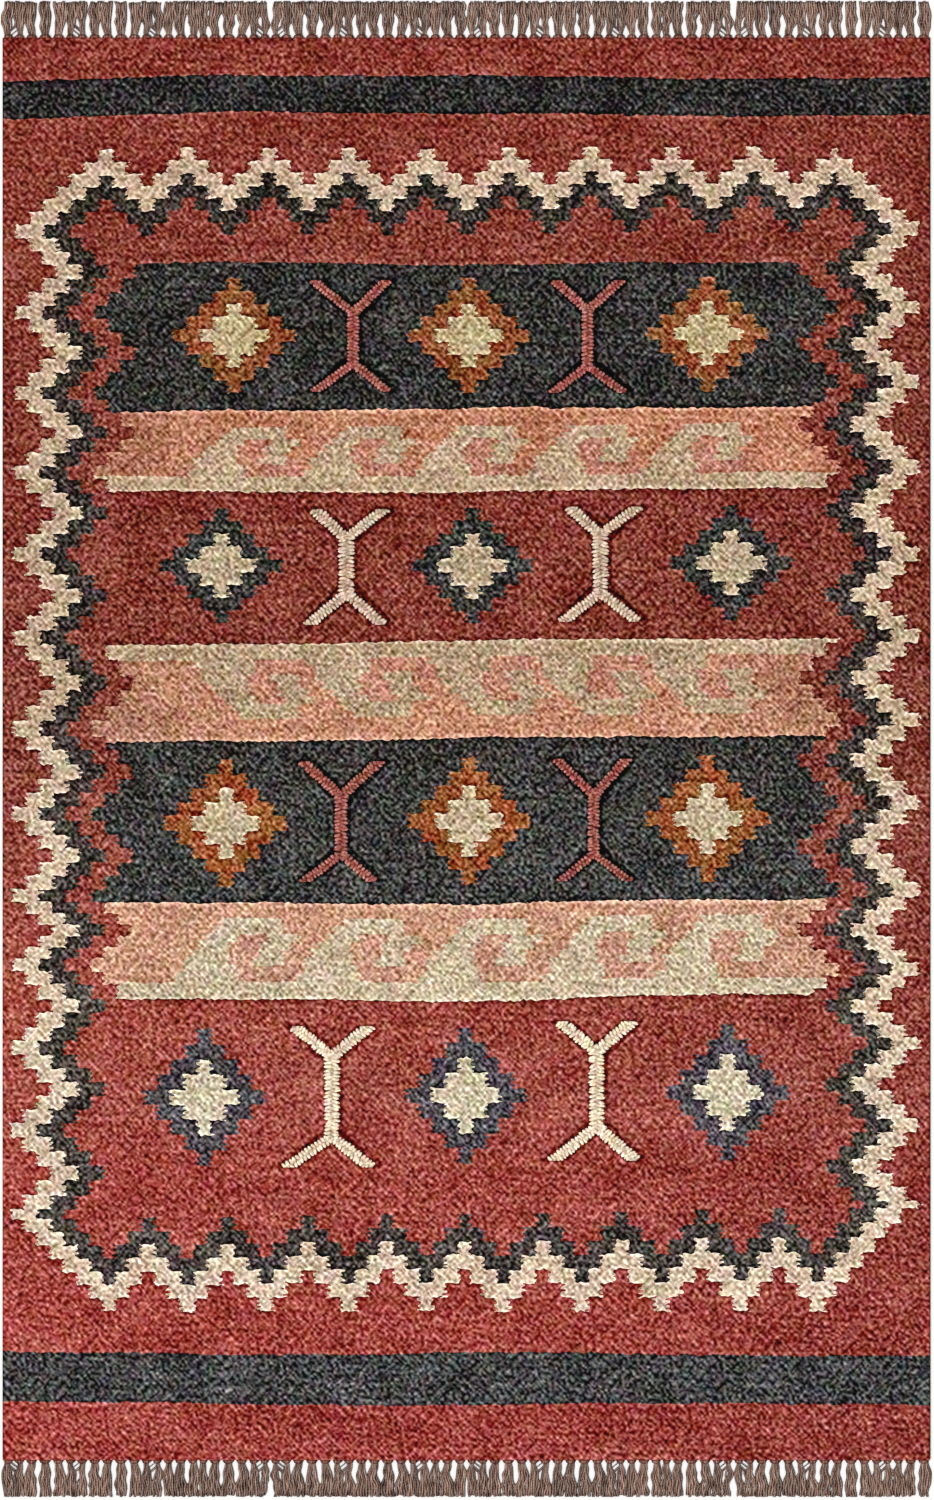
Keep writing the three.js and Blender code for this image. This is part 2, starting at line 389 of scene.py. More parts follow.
# %% [markdown]
# ### Forked figures
#
# Between the diamonds stand eight figures, each an upright bar that forks at both ends. Their yarn is
# wrapped over the warps on top of the weave, so they stand a little proud of it. The sizes are the slab's
# own, in millimetres from the rug's middle: the bar's middle line, the levels where the arms are cut off,
# how far each arm reaches sideways, and how deep the notches between the arms are.

# %% The figures and their outlines
FORK_TO_ELBOW = 21             # from a notch to where the arms' outer sides meet the bar
FIGURES = [
    {"x": -186, "top": 770, "bottom": 587, "up_left": 79, "up_right": 68, "low_left": 76, "low_right": 70,
     "up_fork": 42, "low_fork": 35, "bar": 21, "arm": 25, "yarn": "figure red"},
    {"x": 199, "top": 770, "bottom": 585, "up_left": 67, "up_right": 67, "low_left": 70, "low_right": 73,
     "up_fork": 37, "low_fork": 33, "bar": 21, "arm": 25, "yarn": "figure red"},
    {"x": -197, "top": 394, "bottom": 204, "up_left": 68, "up_right": 78, "low_left": 78, "low_right": 75,
     "up_fork": 35, "low_fork": 39, "bar": 29, "arm": 30, "yarn": "figure ivory"},
    {"x": 220, "top": 398, "bottom": 209, "up_left": 66, "up_right": 77, "low_left": 77, "low_right": 76,
     "up_fork": 33, "low_fork": 36, "bar": 28, "arm": 30, "yarn": "figure ivory"},
    {"x": -206, "top": -20, "bottom": -218, "up_left": 77, "up_right": 77, "low_left": 75, "low_right": 67,
     "up_fork": 45, "low_fork": 34, "bar": 23, "arm": 27, "yarn": "figure red"},
    {"x": 209, "top": -16, "bottom": -217, "up_left": 73, "up_right": 66, "low_left": 65, "low_right": 71,
     "up_fork": 48, "low_fork": 33, "bar": 21, "arm": 23, "yarn": "figure red"},
    {"x": -221, "top": -455, "bottom": -687, "up_left": 78, "up_right": 78, "low_left": 90, "low_right": 80,
     "up_fork": 38, "low_fork": 38, "bar": 27, "arm": 33, "yarn": "figure ivory"},
    {"x": 214, "top": -447, "bottom": -676, "up_left": 77, "up_right": 74, "low_left": 88, "low_right": 80,
     "up_fork": 37, "low_fork": 43, "bar": 27, "arm": 33, "yarn": "figure ivory"},
]
ARMS = [("up_left", -1, 1), ("up_right", 1, 1), ("low_left", -1, -1), ("low_right", 1, -1)]


def figure_shapes(figure):
    """The corners of a figure's bar and of its four arms, in mm from the rug's middle."""
    x, half_bar = figure["x"], figure["bar"] / 2
    up_notch = figure["top"] - figure["up_fork"]
    low_notch = figure["bottom"] + figure["low_fork"]
    shapes = [[(x - half_bar, up_notch), (x + half_bar, up_notch),
               (x + half_bar, low_notch), (x - half_bar, low_notch)]]
    for name, side, up in ARMS:
        notch = up_notch if up > 0 else low_notch
        level = figure["top"] if up > 0 else figure["bottom"]
        tip = x + side * figure[name]
        shapes.append([(x, notch), (tip - side * figure["arm"], level), (tip, level),
                       (x + side * half_bar, notch - up * FORK_TO_ELBOW), (x, notch - up * FORK_TO_ELBOW)])
    return shapes


def distance_outside(x, y, corners):
    """How far each place lies outside a shape with these corners, in mm. Inside it is 0."""
    nearest = np.full(x.shape, np.inf)
    crossings = np.zeros(x.shape, int)
    for (ax, ay), (bx, by) in zip(corners, corners[1:] + corners[:1]):
        share = ((x - ax) * (bx - ax) + (y - ay) * (by - ay)) / ((bx - ax) ** 2 + (by - ay) ** 2)
        share = np.clip(share, 0, 1)
        nearest = np.minimum(nearest, np.hypot(x - ax - share * (bx - ax), y - ay - share * (by - ay)))
        if ay != by:
            passes = (ay > y) != (by > y)
            crossings += passes & (x < ax + (y - ay) * (bx - ax) / (by - ay))
    return np.where(crossings % 2 == 1, 0, nearest)


# %% The whole chart
IVORY_CELLS = 2                # how many cells of the frame are ivory, from outside
CHARCOAL_CELLS = 2             # and how many after them charcoal
FIELD_FROM_SIDES = 6           # cells, where the bands begin: at the sides two red ones lie before them
FIELD_FROM_ENDS = 4


def chart(across, down):
    """The number of the yarn at each place of the cloth."""
    yarn = np.full(across.shape, YARN_NUMBER["madder"])
    for stripe in STRIPES:
        top, bottom = (beaten_line(across, stripe[edge]) for edge in ("top", "bottom"))
        yarn[(down >= top) & (down < bottom)] = YARN_NUMBER[stripe["yarn"]]

    from_sides, from_ends = frame_depth(across, down)
    in_field = (from_sides >= FIELD_FROM_SIDES) & (from_ends >= FIELD_FROM_ENDS)
    for band in FIELD_BANDS:
        below = down >= beaten_line(across, band["starts"])
        yarn[in_field & below] = YARN_NUMBER[band["yarn"]]
    for wave in WAVES:
        for mark in "o#":
            yarn[in_field & wave_cells(across, down, wave, mark)] = YARN_NUMBER[wave[mark]]
    for row in DIAMOND_ROWS:
        for middle_across, middle_down in row["at"]:
            steps = (abs(np.rint((across - middle_across) / DIAMOND_CELL))
                     + abs(np.rint((down - middle_down) / row["row"])))
            yarn[steps <= DIAMOND_STEPS] = YARN_NUMBER[row["outer"]]
            yarn[steps <= INNER_STEPS] = YARN_NUMBER[row["inner"]]

    depth = np.minimum(from_sides, from_ends)
    in_ivory = (depth >= 0) & (depth < IVORY_CELLS)
    in_charcoal = (depth >= IVORY_CELLS) & (depth < IVORY_CELLS + CHARCOAL_CELLS)
    yarn[in_ivory] = YARN_NUMBER["frame ivory"]
    yarn[in_charcoal] = YARN_NUMBER["frame charcoal"]
    return yarn


# %% [markdown]
# ## The cloth
#
# The cloth is one sheet. Its upper side is a grid with a face for each warp and for every few picks, so a
# face holds one yarn, as a stitch of the chart does. The grid's lines are then nudged sideways and up or
# down to the nearest change of yarn, which makes the steps of the pattern as true as the chart.
#
# The edge is rounded by extruding the grid's rim outwards and down, and a coarser grid closes the underside.

# %% The grid and its nudged lines
WARPS = 276                    # faces across the upper side
ROWS = 328                     # faces along it
EDGE_INSET = 1.8               # the flat upper side ends this far inside the cloth's outline
CLOTH_THICKNESS = 5.0
SAMPLING = 1.0                 # mm between the places where the chart is read for changes of yarn
RAGGED_DOWN = 1.1              # mm, how far the turns of the yarn go astray
RAGGED_ACROSS = 1.4

face_width = (RUG_WIDTH - 2 * EDGE_INSET) / WARPS
face_height = (CLOTH_LENGTH - 2 * EDGE_INSET) / ROWS


def nudges(codes, samples, start, pitch, lines, ragged):
    """How far each grid line moves to lie on a change of yarn, for each row of codes.

    codes holds the yarns at the samples along each row. The result has one number for each line. No two
    turns of the yarn lie quite in line, so each also goes astray by about as much as ragged says, in mm.
    """
    random = np.random.default_rng(lines)
    rows, places = np.nonzero(codes[:, 1:] != codes[:, :-1])
    change = (samples[places] + samples[places + 1]) / 2
    line = np.clip(np.rint((change - start) / pitch), 1, lines - 2).astype(int)
    total = np.zeros((codes.shape[0] + 1, lines))
    count = np.zeros((codes.shape[0] + 1, lines))
    for shift in (0, 1):
        np.add.at(total, (rows + shift, line), change - (start + pitch * line))
        np.add.at(count, (rows + shift, line), 1)
    astray = np.clip(random.normal(0, ragged, total.shape), -2 * ragged, 2 * ragged)
    return total / np.maximum(count, 1) + astray * (count > 0)


column_middles = EDGE_INSET + face_width * (np.arange(WARPS) + 0.5)
row_middles = EDGE_INSET + face_height * (np.arange(ROWS) + 0.5)
fine_across = np.arange(SAMPLING / 2, RUG_WIDTH, SAMPLING)
fine_down = np.arange(SAMPLING / 2, CLOTH_LENGTH, SAMPLING)
codes_down = chart(*np.meshgrid(column_middles, fine_down, indexing="ij"))
codes_across = chart(*np.meshgrid(fine_across, row_middles))
nudge_down = nudges(codes_down, fine_down, EDGE_INSET, face_height, ROWS + 1, RAGGED_DOWN)
nudge_across = nudges(codes_across, fine_across, EDGE_INSET, face_width, WARPS + 1, RAGGED_ACROSS)
grid_across = EDGE_INSET + face_width * np.arange(WARPS + 1)[None, :] + nudge_across
grid_down = EDGE_INSET + face_height * np.arange(ROWS + 1)[:, None] + nudge_down.T
print(f"a face of the cloth is {face_width:.2f} by {face_height:.2f} mm")

# %% The sheet
EDGE_RINGS = [
    {"inset": 0.5, "height": 4.4},
    {"inset": 0.0, "height": 2.9},
    {"inset": 0.4, "height": 0.5},
]
UNDERSIDE_CELL = 32            # mm, a face of the underside
UNDERSIDE_INSET = 3
BROAD_LUMP = (46, 34)          # mm across and down
YARN_LUMP = (15, 8)
LUMP_HEIGHTS = (0.22, 0.25)    # mm
LUMP_MIDDLE = CLOTH_THICKNESS - 0.25    # so that only the highest lumps are as high as the slab


def surface_height(across, down):
    """The cloth's upper side in mm: lumpy where the hand-spun yarn is thick.

    A noise's third number only picks which slice of it is used.
    """
    broad = noise.noise((across / BROAD_LUMP[0], down / BROAD_LUMP[1], 0.3))
    yarn_lumps = noise.noise((across / YARN_LUMP[0], down / YARN_LUMP[1], 7.1))
    return LUMP_MIDDLE + LUMP_HEIGHTS[0] * broad + LUMP_HEIGHTS[1] * yarn_lumps


bm = bmesh.new()
bmesh.ops.create_grid(bm, x_segments=WARPS, y_segments=ROWS, size=0.5)
bm.verts.ensure_lookup_table()
for vertex in bm.verts:
    row, column = divmod(vertex.index, WARPS + 1)
    row = ROWS - row
    across, down = grid_across[row, column], grid_down[row, column]
    vertex.co = (
        (across - RUG_WIDTH / 2) * MM,
        (CLOTH_LENGTH / 2 - down) * MM,
        surface_height(across, down) * MM,
    )
rim = [edge for edge in bm.edges if edge.is_boundary]
inset_before = EDGE_INSET
for ring in EDGE_RINGS:
    made = bmesh.ops.extrude_edge_only(bm, edges=rim)["geom"]
    rim = [item for item in made if isinstance(item, bmesh.types.BMEdge)]
    grow = Vector((
        (RUG_WIDTH / 2 - ring["inset"]) / (RUG_WIDTH / 2 - inset_before),
        (CLOTH_LENGTH / 2 - ring["inset"]) / (CLOTH_LENGTH / 2 - inset_before),
    ))
    for vertex in {vertex for edge in rim for vertex in edge.verts}:
        vertex.co = (vertex.co.x * grow.x, vertex.co.y * grow.y, ring["height"] * MM)
    inset_before = ring["inset"]

under = bmesh.ops.create_grid(
    bm,
    x_segments=round(RUG_WIDTH / UNDERSIDE_CELL),
    y_segments=round(CLOTH_LENGTH / UNDERSIDE_CELL),
    size=0.5,
    matrix=Matrix.Diagonal((1, 1, -1, 1)),
)["verts"]
for vertex in under:
    vertex.co.x *= (RUG_WIDTH - 2 * UNDERSIDE_INSET) * MM
    vertex.co.y *= (CLOTH_LENGTH - 2 * UNDERSIDE_INSET) * MM
under_rim = {edge for vertex in under for edge in vertex.link_edges if edge.is_boundary}
bmesh.ops.bridge_loops(bm, edges=rim + list(under_rim))
bmesh.ops.recalc_face_normals(bm, faces=bm.faces)
print("open edges left:", sum(1 for edge in bm.edges if not edge.is_manifold))

cloth_mesh = bpy.data.meshes.new("kilim_cloth")
bm.to_mesh(cloth_mesh)
bm.free()
cloth_mesh.shade_smooth()

# %% [markdown]
# ### Writing the yarns on the faces
#
# Each corner of a face carries its yarn's colour. Where two yarns meet side by side they turn back round
# the same warps, one pick of the one and one of the other, and their joint looks like the teeth of a comb.
# The shader draws those teeth, so a face beside such a joint also carries the colour across it, and its
# corners the signed distance to it.

# %% Where each corner lies
corner_count = len(cloth_mesh.loops)
points = np.empty(len(cloth_mesh.vertices) * 3)
cloth_mesh.vertices.foreach_get("co", points)
corner_vertex = np.empty(corner_count, int)
cloth_mesh.loops.foreach_get("vertex_index", corner_vertex)
corner_at = points.reshape(-1, 3)[corner_vertex] / MM
corner_across = corner_at[:, 0] + RUG_WIDTH / 2
corner_down = CLOTH_LENGTH / 2 - corner_at[:, 1]
face_size = np.empty(len(cloth_mesh.polygons), int)
cloth_mesh.polygons.foreach_get("loop_total", face_size)
corner_face = np.repeat(np.arange(len(face_size)), face_size)
middle_across = np.bincount(corner_face, corner_across) / face_size
middle_down = np.bincount(corner_face, corner_down) / face_size
yarn = chart(np.clip(middle_across, 1, RUG_WIDTH - 1), np.clip(middle_down, 1, CLOTH_LENGTH - 1))
print(f"{corner_count} corners of {len(face_size)} faces")

# %% The colour of each yarn
ORANGE_PATCH = 26              # mm
ORANGE_SWING = (-0.15, 0.45, 0.3)    # how far its red, green and blue go from one patch to another
# The madder has faded a little more at the near left, and less at the right, most so at the near end.
FADED_LEFT, DEEPER_RIGHT, DEEPER_NEAR = 0.10, 0.08, 0.08
NEAR_FROM, NEAR_REACH = 1000, 600    # mm: the near end's share sets in here, and is whole that much on
LEFT_REACH = 500
RIGHT_FROM, RIGHT_REACH = 900, 500


def yarn_colour(numbers, across, down):
    """The colour of each yarn where it is woven, from its lots."""
    colour = np.ones((len(numbers), 4))
    for name, lots in YARNS.items():
        woven = numbers == YARN_NUMBER[name]
        places = [place for place, _ in lots]
        for channel in range(3):
            levels = [linear(lot)[channel] for _, lot in lots]
            colour[woven, channel] = np.interp(down[woven], places, levels)
        if name in HANKS:
            places = np.linspace(0, RUG_WIDTH, len(HANKS[name]))
            colour[woven, :3] *= np.interp(across[woven], places, HANKS[name])[:, None]
    # The orange took its dye worst of all: it is redder in one place and more ochre in the next.
    for corner in np.flatnonzero(numbers == YARN_NUMBER["orange"]):
        ochre = noise.noise((across[corner] / ORANGE_PATCH, down[corner] / ORANGE_PATCH, 3.3))
        colour[corner, :3] *= 1 + ochre * np.array(ORANGE_SWING)
    near = np.clip((down - NEAR_FROM) / NEAR_REACH, 0, 1)
    left = np.clip(1 - across / LEFT_REACH, 0, 1)
    right = np.clip((across - RIGHT_FROM) / RIGHT_REACH, 0, 1)
    faded = 1 + FADED_LEFT * left * near - (DEEPER_RIGHT + DEEPER_NEAR * near) * right
    madder = numbers == YARN_NUMBER["madder"]
    colour[madder, :3] *= faded[madder, None]
    return colour


own = yarn_colour(yarn[corner_face], corner_across, corner_down)

# %% Joints between yarns side by side
FAR_AWAY = 99.0                # mm, for a face that is beside no joint

top_faces = WARPS * ROWS
top_yarn = yarn[:top_faces].reshape(ROWS, WARPS)
right_of_face = np.hstack([top_yarn[:, 1:], top_yarn[:, -1:]])
left_of_face = np.hstack([top_yarn[:, :1], top_yarn[:, :-1]])
on_right = np.zeros(len(face_size), bool)
on_right[:top_faces] = (right_of_face != top_yarn).ravel()
on_left = np.zeros(len(face_size), bool)
on_left[:top_faces] = (left_of_face != top_yarn).ravel() & ~on_right[:top_faces]
print(f"{int(on_right.sum())} faces with a joint at their right side")

across_numbers = yarn.copy()
across_numbers[:top_faces] = np.where(on_right[:top_faces], right_of_face.ravel(), left_of_face.ravel())
across_colour = yarn_colour(across_numbers[corner_face], corner_across, corner_down)

corner_is_right = corner_across > middle_across[corner_face]
joint = np.full(corner_count, FAR_AWAY)
joint[on_right[corner_face]] = -face_width
joint[on_right[corner_face] & corner_is_right] = 0
joint[on_left[corner_face]] = face_width
joint[on_left[corner_face] & ~corner_is_right] = 0

# %% [markdown]
# Where one yarn follows another down the cloth there are no teeth, but the step between them still catches
# the light: the paler yarn shows a bright line there and the darker one a shadowed line. Those corners carry
# +1 on the paler side and -1 on the darker. Round a figure the weave lies in the wrapped yarn's shadow, so
# the corners there carry their distance to the figure.

# %% Lines between a yarn and the next
FULL_CONTRAST = 0.30           # between two yarns, on a screen: from here on their joint's lines are full
SCREEN_POWER = 2.2             # a screen shows about this power of the number it is given
BRIGHTNESS = (0.21, 0.72, 0.07)    # how bright red, green and blue look beside each other

grey = np.array([linear(lots[-1][1])[:3] for lots in YARNS.values()]) @ BRIGHTNESS
paleness = grey ** (1 / SCREEN_POWER) / FULL_CONTRAST
far_neighbour = np.vstack([top_yarn[1:], top_yarn[-1:]])
near_neighbour = np.vstack([top_yarn[:1], top_yarn[:-1]])
line = np.zeros(corner_count)
corner_is_far = corner_down < middle_down[corner_face]
for neighbour, at_this_end in ((far_neighbour, corner_is_far), (near_neighbour, ~corner_is_far)):
    side = np.zeros(len(face_size))
    side[:top_faces] = np.clip(paleness[top_yarn] - paleness[neighbour], -1, 1).ravel()
    line[at_this_end] += side[corner_face][at_this_end]

# %% Distance to the figures
SHADOW_SHIFT = (2.0, 1.2)      # mm: the shadow falls more to the right of a figure and above it
FIGURE_REACH = (120, 25)       # mm from a figure's middle and from its ends, past which it has no shadow

beside = np.full(corner_count, FAR_AWAY)
x, y = corner_at[:, 0] - SHADOW_SHIFT[0], corner_at[:, 1] - SHADOW_SHIFT[1]
for figure in FIGURES:
    near = abs(x - figure["x"]) < FIGURE_REACH[0]
    near &= (y > figure["bottom"] - FIGURE_REACH[1]) & (y < figure["top"] + FIGURE_REACH[1])
    for corners in figure_shapes(figure):
        beside[near] = np.minimum(beside[near], distance_outside(x[near], y[near], corners))

# %% Writing the attributes
WARP_PITCH = 5.6               # mm between the ribs that the warps make
PICK_PITCH = 5.6               # mm: a pick is really about 3 mm, drawn coarser so that it shows

for name, values in (("yarn", own), ("across", across_colour)):
    layer = cloth_mesh.attributes.new(name, "FLOAT_COLOR", "CORNER")
    layer.data.foreach_set("color", values.ravel())
for name, values in (("joint", joint), ("line", line), ("beside", beside)):
    layer = cloth_mesh.attributes.new(name, "FLOAT", "CORNER")
    layer.data.foreach_set("value", values)
threads = cloth_mesh.uv_layers.new(name="Threads")
thread_counts = np.column_stack([corner_across / WARP_PITCH, corner_down / PICK_PITCH])
threads.data.foreach_set("uv", thread_counts.ravel())
ribs, beads_down = thread_counts.max(axis=0)
print(f"{ribs:.0f} ribs across the cloth and {beads_down:.0f} beads down it")

# %% [markdown]
# ### Hand-spun wool
#
# The yarn is dyed, hand-spun wool, woven weft over hidden warps. To the eye that is a surface of small
# beads, each row set off by a warp from the next, with dark hollows between them, no gloss and a faint haze
# of fibres. The `Threads` map counts warps and picks, so a bead is one unit each way.
#
# The light and shade is a sum of simple patterns. A noise's scale is in turns to the metre: at 50 its
# patches are a fiftieth of a metre wide, 20 mm.

# %% Colour in light and shade
SHADE_STEP = 0.18              # of the way from black to white on a screen, for one unit of shade
DEEPEST = 0.02                 # on a screen: wool never looks blacker than this
HUE_PATCHES = 48.0             # about 21 mm
HUE_LEAN = 0.7                 # in units of shade, for red, green and blue each


def shaded(node, colour, shade):
    """A dyed colour in light and shade.

    Loose fibres scatter as much light off a dark yarn as off a pale one, so the shade is added to the
    colour as a screen shows it, the same to red, green and blue.
    """
    seen = node("Gamma", {"Color": colour, "Gamma": 1 / SCREEN_POWER})
    step = node("VectorMath.SCALE", {0: shade, "Scale": SHADE_STEP})
    seen = node("VectorMath.ADD", (seen, step))
    seen = node("VectorMath.MAXIMUM", (seen, (DEEPEST, DEEPEST, DEEPEST)))
    return node("Gamma", {"Color": seen, "Gamma": SCREEN_POWER})


def with_lean(node, place, shade):
    """Hand-dyed wool is never one hue: it leans a little to red, green or blue, a few beads at a time."""
    lean = node("TexNoise", {"Vector": place, "Scale": HUE_PATCHES, "Detail": 2.0})["Color"]
    lean = node("VectorMath.MULTIPLY_ADD", (lean, (HUE_LEAN,) * 3, (-HUE_LEAN / 2,) * 3))
    return node("VectorMath.ADD", (shade, lean))


def with_swing(node, shade, noise_value, swing):
    """The shade and a noise, which swings as much under its middle, a half, as over it."""
    return node("Math.ADD", (shade, node("Math.MULTIPLY_ADD", (noise_value, swing, -swing / 2))))


# %% Beads and crumbs
CRUMB = (0.0080, 0.0060, 1.0)  # m, the length and the width of a thick or thin spot of the yarn
CRUMB_LEAN = math.radians(-45)
STRAY_PATCHES = 45.0           # 22 mm, four beads
STRAY_BEADS = (3.0, 3.0, 0.0)  # how far the rows of beads stray


def beads(node, place):
    """Which bead a place is in, how high it lies over or under the warps, and how light that bead is."""
    threads_at = node("UVMap", uv_map="Threads")
    stray = node("TexNoise", {"Vector": place, "Scale": STRAY_PATCHES, "Detail": 1.0})["Color"]
    stray = node("VectorMath.SUBTRACT", (stray, (0.5, 0.5, 0.5)))
    stray = node("VectorMath.MULTIPLY", (stray, STRAY_BEADS))
    thread = node("SeparateXYZ", (node("VectorMath.ADD", (threads_at, stray)),))
    warp_wave = node("Math.SINE", (node("Math.MULTIPLY", (thread["X"], math.pi)),))
    pick_wave = node("Math.SINE", (node("Math.MULTIPLY", (thread["Y"], math.pi)),))
    over_under = node("Math.MULTIPLY", (warp_wave, pick_wave))
    bead = node("CombineXYZ", (node("Math.FLOOR", (thread["X"],)), node("Math.FLOOR", (thread["Y"],))))
    chance = node("TexWhiteNoise", {"Vector": bead}, noise_dimensions="2D")["Value"]
    return thread, over_under, chance


def yarn_crumbs(node, place):
    """Thick and thin spots of the hand-spun yarn, which lean the way it was spun."""
    leaning = node("Mapping", {"Vector": place, "Rotation": (0, 0, CRUMB_LEAN), "Scale": CRUMB},
                   vector_type="TEXTURE")
    return node("TexNoise", {"Vector": leaning, "Scale": 1.0, "Detail": 0.5})["Fac"]


# %% The comb of teeth at a joint
TOOTH = 4.2                    # mm, how deep a tooth of the joint reaches
TOOTH_SHORTEST = 0.3           # of that depth
TOOTH_SPREAD = 0.8             # and how much longer the longest is, in the same measure
TOOTH_PICKS = 0.8              # picks in one tooth
TOOTH_ROUNDNESS = 0.6          # below 1 a tooth is blunt
STRAY_REACH = 8.0              # mm, how much further it reaches on a thick spot than on a thin one


def tooth_distance(node, thread, crumbs):
    """How far a place is from its joint, straight across and along the teeth, in mm."""
    tooth_at = node("Math.DIVIDE", (thread["Y"], TOOTH_PICKS))
    tooth = node("Math.FLOOR", (tooth_at,))
    chance = node("TexWhiteNoise", {"W": tooth}, noise_dimensions="1D")["Value"]
    to_side = node("Math.MULTIPLY_ADD", (node("Math.MODULO", (tooth, 2.0)), 2.0, -1.0))
    along_tooth = node("Math.MULTIPLY", (node("Math.FRACT", (tooth_at,)), math.pi))
    bulge = node("Math.POWER", (node("Math.SINE", (along_tooth,)), TOOTH_ROUNDNESS))
    length = node("Math.MULTIPLY_ADD", (chance, TOOTH * TOOTH_SPREAD, TOOTH * TOOTH_SHORTEST))
    reach = node("Math.MULTIPLY", (node("Math.MULTIPLY", (to_side, bulge)), length))
    stray = node("Math.MULTIPLY_ADD", (crumbs, STRAY_REACH, -STRAY_REACH / 2))
    to_joint = node("Attribute", attribute_name="joint")["Fac"]
    return to_joint, node("Math.SUBTRACT", (to_joint, node("Math.ADD", (reach, stray))))


# %% Light and shade of the weave
GRAIN_AWAY = -0.065            # the grain's change in a metre towards the far end
GRAIN_PALE = -0.45             # its change from a black yarn to a white one
GRAIN_BLACK = 1.16             # and how strong it is on a black yarn
PALEST = 0.4                   # yarns that are paler than this show the grain as this one does
STREAK_SCALE = (7.0, 150.0, 1.0)    # streaks of 140 by 7 mm along the picks
BLOTCHES = 14.0                # 70 mm


def grain(node, place, own_grey, crumbs, over_under, chance):
    """The weave's overs and unders, the crumbs, streaks and blotches.

    They show most on the dark yarns, and towards the near end, where the weft is packed less hard.
    """
    away = node("SeparateXYZ", (place,))["Y"]
    by_yarn = node("Math.MULTIPLY_ADD", (node("Math.MINIMUM", (own_grey, PALEST)), GRAIN_PALE, GRAIN_BLACK))
    strength = node("Math.MULTIPLY", (node("Math.MULTIPLY_ADD", (away, GRAIN_AWAY, 1.0)), by_yarn))
    stretched = node("Mapping", {"Vector": place, "Scale": STREAK_SCALE})
    streaks = node("TexNoise", {"Vector": stretched, "Scale": 1.0, "Detail": 2.0})["Fac"]
    blotches = node("TexNoise", {"Vector": place, "Scale": BLOTCHES, "Detail": 3.0})["Fac"]
    shade = node("Math.MULTIPLY", (over_under, node("Math.MULTIPLY_ADD", (chance, 0.9, 0.15))))
    shade = with_swing(node, shade, crumbs, 5.0)
    shade = with_swing(node, shade, streaks, 1.5)
    shade = node("Math.MULTIPLY", (shade, strength))
    return with_swing(node, shade, blotches, 1.5)


# %% Lines at the joints, and shadows
LINE_STRENGTHS = (1.3, 0.9)    # where a yarn ends down the cloth, and where it ends across it
HALO_FADE = 0.32               # the line across fades by this in a mm
FIGURE_SHADOW = 1.4            # units of shade, whole up to 1 mm from a figure
FIGURE_SHADOW_FADE = 0.3       # and this share of it less in each mm after that
SELVEDGE_TURN = 3.5            # mm


def lines_and_shadows(node, place, shade, paler, crossed, to_tooth):
    """The darker of two yarns has a shadowed line along their joint, and the paler one a bright line."""
    line = node("Attribute", attribute_name="line")["Fac"]
    ends = node("Math.POWER", (node("Math.ABSOLUTE", (line,)), 1.3))
    ends = node("Math.MULTIPLY", (ends, node("Math.SIGN", (line,))))
    shade = node("Math.ADD", (shade, node("Math.MULTIPLY", (ends, LINE_STRENGTHS[0]))))

    paler = node("Math.MULTIPLY", (paler, node("Math.MULTIPLY_ADD", (crossed, -2.0, 1.0))))
    nearness = node("Math.MULTIPLY_ADD", (node("Math.ABSOLUTE", (to_tooth,)), -HALO_FADE, 1.0))
    nearness = node("Math.MAXIMUM", (nearness, 0.0))
    paler = node("Math.MULTIPLY", (paler, nearness))
    shade = node("Math.ADD", (shade, node("Math.MULTIPLY", (paler, LINE_STRENGTHS[1]))))

    # The weave lies in the wrapped figures' shadow.
    beside = node("Attribute", attribute_name="beside")["Fac"]
    shadow = node("Math.MULTIPLY_ADD", (beside, -FIGURE_SHADOW_FADE, 1.0 + FIGURE_SHADOW_FADE))
    shadow = node("Math.MINIMUM", (node("Math.MAXIMUM", (shadow, 0.0)), 1.0))
    shadow = node("Math.MULTIPLY", (shadow, FIGURE_SHADOW))
    shade = node("Math.SUBTRACT", (shade, shadow))

    # The selvedge turns down into its own shadow.
    sideways = node("Math.ABSOLUTE", (node("SeparateXYZ", (place,))["X"],))
    to_selvedge = node("Math.SUBTRACT", (RUG_WIDTH / 2 * MM, sideways))
    turned = node("Math.MULTIPLY_ADD", (to_selvedge, -1 / (SELVEDGE_TURN * MM), 1.0))
    return node("Math.SUBTRACT", (shade, node("Math.MAXIMUM", (turned, 0.0))))


